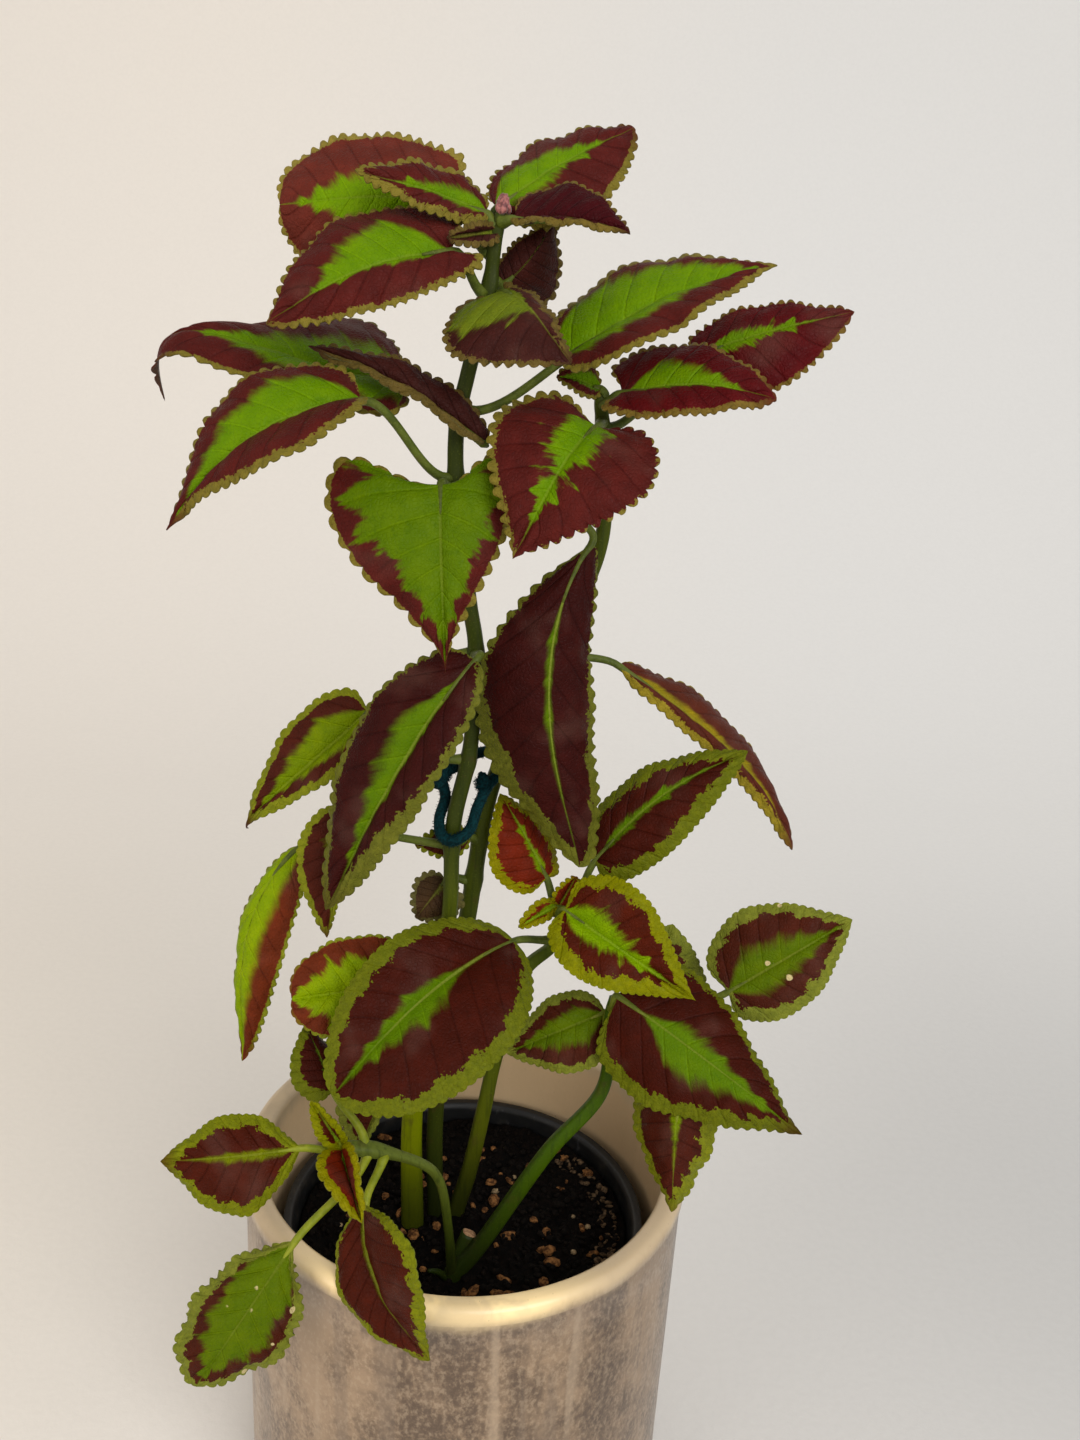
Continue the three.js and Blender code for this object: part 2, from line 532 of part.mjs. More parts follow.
function potGeometry() {
  const bodyTop = POT_HEIGHT - LIP_BAND_HEIGHT;
  const bodyRadius = POT_RADIUS - LIP_BAND_PROUD;
  const innerRadius = POT_RADIUS - POT_WALL;
  const profile = [[0, 0], [POT_BASE_RADIUS - POT_FOOT_ROUND, 0], [POT_BASE_RADIUS, POT_FOOT_ROUND]];
  profile.push([bodyRadius, bodyTop - LIP_BAND_PROUD], [POT_RADIUS, bodyTop]);
  const lipSteps = 4;
  for (let i = 0; i <= lipSteps; i += 1) {
    const turn = (Math.PI / 2) * (i / lipSteps);
    profile.push([
      POT_RADIUS - LIP_ROUND * (1 - Math.cos(turn)),
      POT_HEIGHT - LIP_ROUND * (1 - Math.sin(turn)),
    ]);
  }
  profile.push([innerRadius + 1, POT_HEIGHT - 0.5], [innerRadius, POT_HEIGHT - LIP_ROUND]);
  profile.push([POT_INNER_BASE_RADIUS, POT_FLOOR + 5], [POT_INNER_BASE_RADIUS - 4.5, POT_FLOOR]);
  profile.push([0, POT_FLOOR]);
  return lathe(profile, POT_SIDES);
}

function nurseryGeometry() {
  const foot = POT_FLOOR + GAP;
  const under = NURSERY_TOP - NURSERY_RIM_HEIGHT;
  const body = NURSERY_RADIUS - NURSERY_RIM_PROUD;
  const inner = NURSERY_RADIUS - NURSERY_RIM_PROUD - NURSERY_WALL;
  const profile = [
    [0, foot], [NURSERY_FOOT_RADIUS, foot], [body - 0.6, under], [NURSERY_RADIUS, under + 0.8],
    [NURSERY_RADIUS, NURSERY_TOP], [inner + 0.9, NURSERY_TOP],
    [inner, NURSERY_TOP - NURSERY_MOUTH_BEVEL],
    [NURSERY_FOOT_RADIUS - NURSERY_WALL, foot + NURSERY_FLOOR], [0, foot + NURSERY_FLOOR],
  ];
  return lathe(profile, NURSERY_SIDES);
}

// the crumbly surface of the peat, as a few crossed waves
function lump(x, y) {
  return SOIL_LUMP * (0.5 * Math.sin(0.31 * x + 1.3) * Math.cos(0.27 * y - 0.4)
    + 0.3 * Math.sin(0.63 * x - 0.55 * y) + 0.2 * Math.sin(1.1 * y + 0.7 * x + 2));
}

// the peat: a plug that fills the nursery pot, lumpy on top, less the stems' holes
function soilSolid(holes) {
  const bottom = POT_FLOOR + GAP + NURSERY_FLOOR + CLEAR;
  const mouth = NURSERY_RADIUS - NURSERY_RIM_PROUD - NURSERY_WALL - CLEAR;
  const foot = NURSERY_FOOT_RADIUS - NURSERY_WALL;
  const slope = (mouth - foot) / (NURSERY_TOP - NURSERY_MOUTH_BEVEL - bottom);
  const radius = (z) => foot + slope * (z - bottom) - CLEAR;
  const edge = SOIL_TOP - 1;
  const profile = [[0, bottom], [radius(bottom), bottom], [radius(edge), edge]];
  for (const share of SOIL_RINGS) profile.push([radius(edge) * share, SOIL_TOP]);
  profile.push([0, SOIL_TOP]);
  const geometry = lathe(profile, NURSERY_SIDES);
  const place = geometry.attributes.position;
  for (let i = 0; i < place.count; i += 1) {
    if (place.getZ(i) > SOIL_TOP - 0.5) place.setZ(i, SOIL_TOP + lump(place.getX(i), place.getY(i)));
  }
  return holes.reduce((rest, hole) => rest.subtract(hole), solid(geometry));
}

// the biggest of the pieces that a cut leaves
function largest(manifold) {
  return manifold.decompose().reduce((best, piece) => (piece.volume() > best.volume() ? piece : best));
}

function join(pieces) {
  return pieces.reduce((whole, piece) => whole.add(piece));
}

const tipLeaflets = (name) => (TIP_LEAFLETS[name] ?? []).map((leaflet) => solid(bladeGeometry(leaflet)));
const stemSolid = (name, grow = 0) => solid(smoothTube(STEMS[name], STEM_SIDES, STEM_STEP, grow));

const stub = (grow = 0) => solid(smoothTube(CUT_STUB, STEM_SIDES, STEM_STEP, grow));
const sprout = (grow = 0) => solid(smoothTube(SOIL_SPROUT, 5, 4, grow));

const tallStem = join([stemSolid('tall'), solid(egg(PINK_BUD, 7, 5)), ...tipLeaflets('tall')]);
const mateStem = stemSolid('mate');
const middleStem = join([stemSolid('middle'), ...tipLeaflets('middle')]);
const frontStem = join([stemSolid('front'), stemSolid('side'), stub(), sprout(), ...tipLeaflets('side')]);
const tieLoop = new THREE.CatmullRomCurve3(TIE_LOOP.map(vector), true, 'centripetal');
const tieSection = new THREE.Shape().absarc(0, 0, TIE_RADIUS, 0, 2 * Math.PI);
const tieSteps = { steps: 20, curveSegments: 3, extrudePath: tieLoop };
const tieRing = new THREE.ExtrudeGeometry(tieSection, tieSteps);
const tie = join([solid(tieRing), solid(egg(TIE_KNOT, 7, 5))])
  .subtract(stemSolid('tall', GAP))
  .subtract(stemSolid('mate', GAP));

const clearStems = Object.fromEntries(Object.keys(STEMS).map((name) => [name, stemSolid(name, CLEAR)]));
const holes = [...Object.values(clearStems), stub(CLEAR), sprout(CLEAR)];

addNode('outer_pot', potGeometry(), 0xcfc8bd, 0.35);
addNode('nursery_pot', nurseryGeometry(), 0x17181a, 0.5);
addNode('soil', geometryOf(soilSolid(holes)), 0x1d1512, 0.95);
addNode('stem_tall', geometryOf(tallStem), 0x5a7a2a);
addNode('stem_mate', geometryOf(mateStem), 0x4f6f2c);
addNode('stem_middle', geometryOf(middleStem), 0x5f8a30);
addNode('stem_front', geometryOf(frontStem), 0x4f8a34);
addNode('plant_tie', geometryOf(tie), 0x0d3a44, 0.95);
for (const [name, leaf] of Object.entries(LEAVES)) {
  const whole = solid(bladeGeometry(leaf)).add(solid(stalkGeometry(leaf)));
  const cleared = largest(whole.subtract(clearStems[leaf.stem]));
  const colour = DARK_LEAVES.includes(name) ? LEAF_COLOURS.dark : LEAF_COLOURS.green;
  addNode(`leaf_${name}`, geometryOf(cleared), colour);
}

export default coleus;
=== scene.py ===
"""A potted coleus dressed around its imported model: toothed two-colour leaves with veins and quilting,
squarish stems, a fuzzy plant tie, crumbly peat in a dark nursery pot, and a marbled glazed outer pot.
Sizes are in millimetres and meshes in metres; the CAD model sets where every piece is."""
import math
import random
from dataclasses import dataclass
from functools import cached_property

import bpy
import numpy as np
from mathutils import Matrix, Vector, noise


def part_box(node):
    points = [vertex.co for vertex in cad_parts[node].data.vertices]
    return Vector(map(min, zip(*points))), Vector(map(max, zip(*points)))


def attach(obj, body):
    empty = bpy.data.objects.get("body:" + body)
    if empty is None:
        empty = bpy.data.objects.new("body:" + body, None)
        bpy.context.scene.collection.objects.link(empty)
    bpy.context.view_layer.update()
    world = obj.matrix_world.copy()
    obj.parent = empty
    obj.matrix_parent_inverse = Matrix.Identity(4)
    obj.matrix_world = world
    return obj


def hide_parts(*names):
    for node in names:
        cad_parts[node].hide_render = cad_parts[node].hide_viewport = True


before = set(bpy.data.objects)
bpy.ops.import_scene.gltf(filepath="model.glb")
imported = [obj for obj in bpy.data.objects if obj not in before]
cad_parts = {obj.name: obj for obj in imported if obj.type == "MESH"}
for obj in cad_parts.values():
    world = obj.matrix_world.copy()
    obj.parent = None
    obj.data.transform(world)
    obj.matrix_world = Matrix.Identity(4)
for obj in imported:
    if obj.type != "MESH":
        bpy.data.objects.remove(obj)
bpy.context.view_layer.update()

MM = 0.001
BODY = "root"

# ---- sizes that follow from the frame, in millimetres ----

_, pot_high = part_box("outer_pot")
nursery_low, nursery_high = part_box("nursery_pot")
soil_low, soil_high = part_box("soil")
POT_HEIGHT = pot_high.z / MM
POT_RADIUS = pot_high.x / MM
POT_BASE_RADIUS = POT_RADIUS - 1
POT_WALL = 6.6
POT_FLOOR = 7
POT_CHAMFER = 1.4
POT_INNER_TAPER = 1.5
POT_FLOOR_ROUND = 6
LIP_BAND_HEIGHT = 5
LIP_ROUND = 2.6
LIP_PROUD = 0.7
LIP_LEAD = 0.9
NURSERY_TOP = nursery_high.z / MM
NURSERY_FOOT = nursery_low.z / MM
NURSERY_RADIUS = nursery_high.x / MM
NURSERY_WALL = 1.6
NURSERY_RIM_HEIGHT = 9
NURSERY_RIM_PROUD = 1.8
NURSERY_FOOT_RADIUS = 42
NURSERY_CORNER = 0.6
NURSERY_SIDES = 128
SOIL_TOP = 95
SOIL_FOOT = soil_low.z / MM
SOIL_RADIUS = soil_high.x / MM
SOIL_LUMP = 1.7
SOIL_MOUND = 1.3
SOIL_MOUND_REACH = 6
SOIL_GAP = 0.6
SOIL_RINGS = 64
SOIL_SIDES = 200

# ---- stems: the model's points along the middle of each, with the radius there ----

STEM_FOOT = 66
STEMS = {
    "tall": [
        (-15.6, -0.8, STEM_FOOT, 3.6), (-15.8, -0.8, 95, 3.7), (-16.4, -1, 138, 3.2),
        (-12, -1.6, 172, 2.4), (-7.6, -2, 203, 2.3), (-7.2, -2, 232, 2.3), (-3.6, -1.6, 253, 2.2),
        (-3, -1, 281, 2.2), (-5, -1, 293, 2.1), (-9, -0.5, 318, 2.2), (-9.8, 0, 338, 2.1),
        (-7.6, 0, 350, 2), (-3.2, 0, 370, 1.9), (-2.4, 0, 379, 1.5), (-1.2, 0, 387, 1.1),
    ],
    "mate": [
        (-8.6, 4.2, STEM_FOOT, 2.6), (-9, 4.4, 95, 2.7), (-9.7, 5, 136, 2.6), (-2.4, 8, 199, 2.7),
        (2.6, 8, 238, 2.4), (9.6, 8, 259, 2.2), (19, 7, 282, 2.1), (27.4, 6, 306, 2.1),
        (28.6, 6, 318, 1.9), (25.8, 6, 343, 1.6), (25, 6, 347, 1),
    ],
    "middle": [
        (-2.8, 3.4, STEM_FOOT, 2.6), (-2.6, 3.4, 95, 2.7), (1, 3, 112, 2.6), (4.8, 3, 136, 2.4),
        (7, 3, 151, 2.2), (14.4, 2, 184, 2), (22, 0, 194, 1.7), (23.4, -2.6, 202, 1.4),
        (23, -3.2, 209, 1),
    ],
    "front": [
        (-3.6, -23.4, STEM_FOOT, 3), (-2.8, -23, 95, 3.1), (4.2, -22, 105, 2.4),
        (23.6, -18, 137.5, 2.2), (37.6, -15, 156, 2), (38.4, -15, 178, 1.8), (38.6, -15, 187, 1.1),
    ],
    "side": [
        (-2.6, -23, 92, 1.8), (-4, -26, 113, 1.4), (-7.3, -30, 136, 1.3), (-11.7, -33, 143.6, 1.3),
        (-25, -38, 152, 1.4), (-33, -40, 154, 1.2),
    ],
}
CUT_STUB = [(-3, -21.6, 93, 2.6), (-0.6, -19.6, 101, 2.5), (1.8, -18, 107, 2.4)]
SOIL_SPROUT = [(-4.4, -24, 96, 1.2), (-7, -26, 100, 0.9), (-9.6, -27.4, 101.6, 0.5)]
PINK_BUD = (-0.7, 0, 389)
TIE_LOOP = [
    (-7.3, -6.2, 228.5), (-3, -4.8, 231), (-0.8, -1.4, 237), (2.6, 3.2, 242.5), (8.2, 7.4, 245),
    (4.6, 12.6, 247.5), (-2, 9, 248), (-7, 3.4, 246.5), (-10.8, 3, 243.5), (-9.8, 2.4, 237.5),
    (-11.2, -1.6, 232.5), (-10.2, -5.4, 229.5),
]

# ---- leaves: the model's shapes ----

ROUND = 0.56


@dataclass
class Leaf:
    """One leaf's shape, in millimetres."""

    stem: str
    node: float  # the height on the stem where the stalk starts
    base: tuple  # the midrib's ends
    tip: tuple
    left: tuple  # a point on each margin near its middle
    right: tuple
    teeth: int  # how many each margin has
    rise: float = 0  # how far the midrib bows up
    crest: float = 0.5  # where it bows most, as a share of its length
    sway: float = 0  # how far it bows to the side
    heart: float = 0  # how far back the margins start, as a share of the length; below 0, forward
    widest: float = 0.35  # where the outline is widest, as a share of the length
    rounds: tuple = (ROUND, ROUND)  # how full the outline is on the left and on the right


LEAVES = {
    "top_back_left": Leaf("tall", 378, (-13, 6, 389.5), (-53, 6, 386), (-47.5, 7, 374), (-39, 16, 402), 26,
        3.5, heart=0.12, widest=0.47, rounds=(0.61, 0.33)),
    "top_small_left": Leaf("tall", 384, (-4.6, 0, 387), (-34, -9, 394), (-19, -8, 387.5), (-16, 2, 396.5),
        16, 1, heart=0.05),
    "top_front_left": Leaf("tall", 369, (-12, -8, 378.5), (-52, -22, 361), (-28, -22, 366), (-35, -4, 385),
        24, 5, heart=0.17, widest=0.38, rounds=(0.5, 0.72)),
    "top_back_right": Leaf("tall", 381, (-2, 3.6, 388.5), (30, 18, 408), (2.5, 17, 400.5), (21, 4, 390), 20,
        2, widest=0.4, rounds=(0.45, ROUND)),
    "top_small_right": Leaf("tall", 385, (2, -3.4, 386), (28, -14, 384), (13, -1, 394), (15, -13, 386), 18,
        2, crest=0.6, heart=0.05),
    "heart_small": Leaf("tall", 366, (0, -5, 370), (16, -24, 356), (8.5, -12, 369), (-7.5, -22, 356), 20, 5,
        crest=0.45, heart=0.13, rounds=(0.45, 0.6)),
    "behind_heart": Leaf("tall", 372, (0.5, 1.6, 371), (11, 6, 386), (2, 4, 380), (13, 9, 378), 14, 3,
        crest=0.55, heart=0.05),
    "upper_right_big": Leaf("tall", 342, (16, -2, 356), (65, 2, 379), (33, 12, 378), (34, -16, 362.5), 24,
        4, heart=0.08, rounds=(ROUND, 0.8)),
    "far_right": Leaf("mate", 338, (50, 14, 357), (88, 14, 369), (59.5, 20, 367.5), (68, 8, 350), 20, 2,
        heart=0.08),
    "red_right": Leaf("mate", 344, (30, 0, 348), (66, -10, 349), (46, 4, 360), (45, -14, 346), 22, 4,
        crest=0.55, heart=0.14, rounds=(0.46, 0.46)),
    "heart_dark_front": Leaf("mate", 340, (24, -5, 340), (5, -24, 311), (37, -18, 335), (-1, -12, 337), 20,
        7, crest=0.4, heart=0.1, widest=0.3),
    "mate_tip": Leaf("mate", 346, (25, 6, 348), (14, 3, 350.5), (21, 1, 347), (20.5, 7, 354), 9, 1),
    "upper_left": Leaf("tall", 340, (-23.5, 5, 348.5), (-81, 2, 340), (-70.5, -9, 352.5), (-59, 14, 360),
        22, 16.5, crest=0.85, heart=0.01, widest=0.23, rounds=(0.12, 0.7)),
    "left_long": Leaf("tall", 325, (-32, -13, 344.5), (-76, -22, 313.5), (-38, -30, 340.5),
        (-61, -13, 346.5), 24, 9.5, crest=0.45, heart=0.07, widest=0.34, rounds=(1.01, 0.69)),
    "edge_on": Leaf("tall", 340, (-3, -6, 335), (-45.5, -2, 355), (-17, -9, 345), (-20.5, -3, 352), 18, 4,
        heart=0.04),
    "heart_green": Leaf("tall", 322, (-13, -10, 325), (-10, -22, 281.5), (2.5, -15, 316.5),
        (-36.5, -14, 312), 17, 4, crest=0.4, heart=0.2, widest=0.17, rounds=(0.36, 0.36)),
    "dark_hanging": Leaf("tall", 318, (25, -1.4, 310), (27, -10, 224), (28, -6, 270.5), (-1.5, -8, 262), 24,
        7, crest=0.4, sway=10, widest=0.5, rounds=(0.5, 1)),
    "left_dark_big": Leaf("tall", 280, (-3, -16, 283), (-39, -24, 216), (-9, -29, 262), (-35.5, -17, 257.5),
        24, 6, crest=0.4, heart=0.03, widest=0.38),
    "left_back": Leaf("tall", 280, (-31, 2, 262), (-63, 0, 227), (-42.5, -6, 244), (-52, 5, 256.5), 20, 4,
        crest=0.8, heart=0.06, widest=0.3),
    "left_drooping": Leaf("tall", 225, (-49, 0, 222), (-65, -8, 157.5), (-50.5, -6, 202), (-67, -1, 193.5),
        22, 6, crest=0.4, sway=6, widest=0.38),
    "left_low_narrow": Leaf("tall", 250, (-35, -8, 237), (-40, -14, 202), (-35, -12, 224),
        (-48, -12, 221.5), 18, 2, heart=0.05),
    "right_drooping": Leaf("mate", 279, (36, 10, 275), (90.5, 14, 220), (62, 20, 263.5), (50.5, 7, 262.5),
        24, 7, crest=0.55, sway=-2, widest=0.42),
    "crown_right": Leaf("middle", 206, (32, -1, 221.5), (71, -1, 256), (36, 6, 239.5), (55, -8, 233), 26, 3,
        sway=-3, heart=0.06, rounds=(0.5, 0.5)),
    "crown_left": Leaf("middle", 208, (19.2, -0.4, 215.4), (5, 3, 239), (3.5, -4, 220.5), (20, 4, 226), 18,
        2, heart=0.08),
    "crown_front": Leaf("middle", 200.5, (24, -10, 211), (59, -28, 195), (36, -14, 223), (26.5, -24, 199.5),
        26, 3, heart=0.06, widest=0.3),
    "lower_front_big": Leaf("middle", 196.5, (10.5, -8, 199.5), (-35, -42, 172), (11, -36, 186.5),
        (-20.5, -18, 206), 30, 6, crest=0.45, sway=3, widest=0.48, rounds=(0.5, 0.5)),
    "bright_puckered": Leaf("tall", 186, (-14, -10, 187), (-49, -18, 185), (-41, -24, 178),
        (-38.5, -10, 198.5), 20, 3, heart=0.1, widest=0.5, rounds=(0.42, 0.42)),
    "low_back_left": Leaf("side", 152.8, (-36, -32, 166), (-45.5, -18, 177), (-48, -26, 170.5),
        (-35.5, -22, 168.5), 14, 1, heart=0.08),
    "low_middle_pale": Leaf("front", 178, (37, -12, 180), (10, -14, 167), (28.5, -20, 165.5), (27, -8, 184),
        20, 3, heart=0.02),
    "low_right_big": Leaf("front", 184, (39.5, -19, 190), (86.5, -48, 168.5), (71.5, -22, 187),
        (74.5, -44, 166.5), 28, 2, heart=0.03, widest=0.23, rounds=(0.37, 0.32)),
    "low_far_right": Leaf("front", 182, (71, -12, 188), (104, -8, 210), (72.5, -2, 207), (85.5, -18, 184),
        24, 2, heart=0.08),
    "low_behind": Leaf("front", 184, (47, -4, 181.6), (56, 2, 201), (49, 0, 199), (66.5, 2, 184.5), 16, 1,
        heart=0.05),
    "low_hanging_right": Leaf("front", 172, (56.5, -32, 165.5), (56, -42, 137.5), (65, -36, 149.5),
        (52.5, -36, 141.5), 18, 4, crest=0.4, heart=0.12, widest=0.2, rounds=(0.21, 0.26)),
    "rim_left": Leaf("side", 153.4, (-43.5, -42, 155), (-79, -46, 153), (-54, -49, 140.5),
        (-60, -38, 162.5), 22, 3, widest=0.46, rounds=(1, 1)),
    "rim_left_hanging": Leaf("side", 152.4, (-43.5, -54, 135), (-67, -68, 100.5), (-55.5, -66, 102),
        (-72.5, -62, 108.5), 20, 4, heart=-0.04, widest=0.5, rounds=(1.1, 0.59)),
    "rim_front_hanging": Leaf("side", 150.6, (-26, -49, 143), (-7, -71, 114), (-15, -67, 149),
        (-27, -63, 119), 22, 4, crest=0.45, sway=3, heart=-0.02, widest=0.37, rounds=(0.76, 0.43)),
    "low_behind_left": Leaf("tall", 148, (-23, -12, 153), (-30, -26, 141), (-25, -20, 148.5),
        (-36, -18, 146.5), 10, 1, heart=0.05),
    "old_small": Leaf("mate", 223, (-3, 4.4, 225), (-18, 2.4, 223), (-9, 2.4, 219.5), (-9, 3.2, 228), 9, 1),
    "old_curled": Leaf("mate", 210, (-9, 4, 211.5), (-17, 1, 200.5), (-10, 1, 201), (-16.5, 5, 211), 9,
        1.5),
    # the small leaves at the growing tips belong to the stem's own solid and have no stalk
    "tip_tall": Leaf("tall", None, (-1.8, -0.6, 383), (-13, -11, 381), (-8, -8.6, 380.4), (-6.6, -6, 384),
        8),
    "tip_middle_left": Leaf("middle", None, (22.2, -3.4, 208.8), (11.5, -13, 206.6), (16.6, -10.4, 206.6),
        (15, -8, 210), 7),
    "tip_middle_up": Leaf("middle", None, (23, -3.6, 209), (27, -6, 219), (22.6, -5.6, 215),
        (27.6, -5.4, 214), 7),
    "tip_side_up": Leaf("front", None, (-32.8, -40.2, 154.2), (-41, -41, 169.5), (-40, -42, 162),
        (-35.5, -42, 164.5), 9),
    "tip_side_down": Leaf("front", None, (-33, -40.4, 153.6), (-25.5, -60, 147), (-28, -53, 157.5),
        (-37, -52, 157), 10),
}

# ---- leaf colours ----
# palettes are sRGB: the band, the centre and the margin

PALETTES = {
    "upper": ("#451511", "#557700", "#665c20"),
    # back: the upper palette made brighter, as painted light on the back leaf
    "back": ("#562219", "#5f8200", "#74682a"),
    "heart": ("#451511", "#4a6400", "#665c20"),
    "red": ("#460a0c", "#567600", "#62501e"),
    "wine": ("#32060a", "#4e6c00", "#5c4e1e"),
    "dusk": ("#331511", "#566412", "#54461e"),
    "hanging": ("#2d0b08", "#4a6600", "#545618"),
    "lower": ("#350e05", "#496600", "#545a0a"),
    "young": ("#5c1a08", "#668400", "#706c00"),
    "front": ("#401204", "#668600", "#686a00"),
    "pale": ("#3d160c", "#5e7200", "#676c12"),
    "lit": ("#5a2410", "#708800", "#6e7418"),
    "autumn": ("#4a2014", "#7a6e10", "#7a6c1c"),
    "rim": ("#3c160a", "#4a5e00", "#646a20"),
    "warm": ("#3c1206", "#5e6800", "#626808"),
    "dull": ("#3a2a18", "#565a20", "#55502a"),
}


@dataclass
class Look:
    """How one leaf is coloured and puckered."""

    palette: str
    lime: tuple  # where the centre starts and ends along the blade; its left and right reach
    margin: tuple = (0.1, 0.1)  # millimetres of green margin, left and right; below 0, none
    hold: float = 1.3  # how long the centre keeps its reach before it narrows
    grow: float = 0  # how much narrower the margin is in the blade's lower half
    tip: float = 0.2  # how green the tip is
    flame: float = 0.2  # how ragged the centre is
    speckle: float = 0.5  # how dotted the margin is
    rib: float = 0.3  # how pale the midrib is
    quilt: float = 0.45  # millimetres that the blade puffs up between its veins
    wave: float = 0.5  # millimetres that the margins wave up and down
    curl: float = 0.04  # how far the margins curl under, as a share of the length
    veins: float = 7  # side veins on each half
    tooth: float = 0.5  # height of the teeth, as a share of their spacing
    spots: float = 0  # pale flecks on the blade


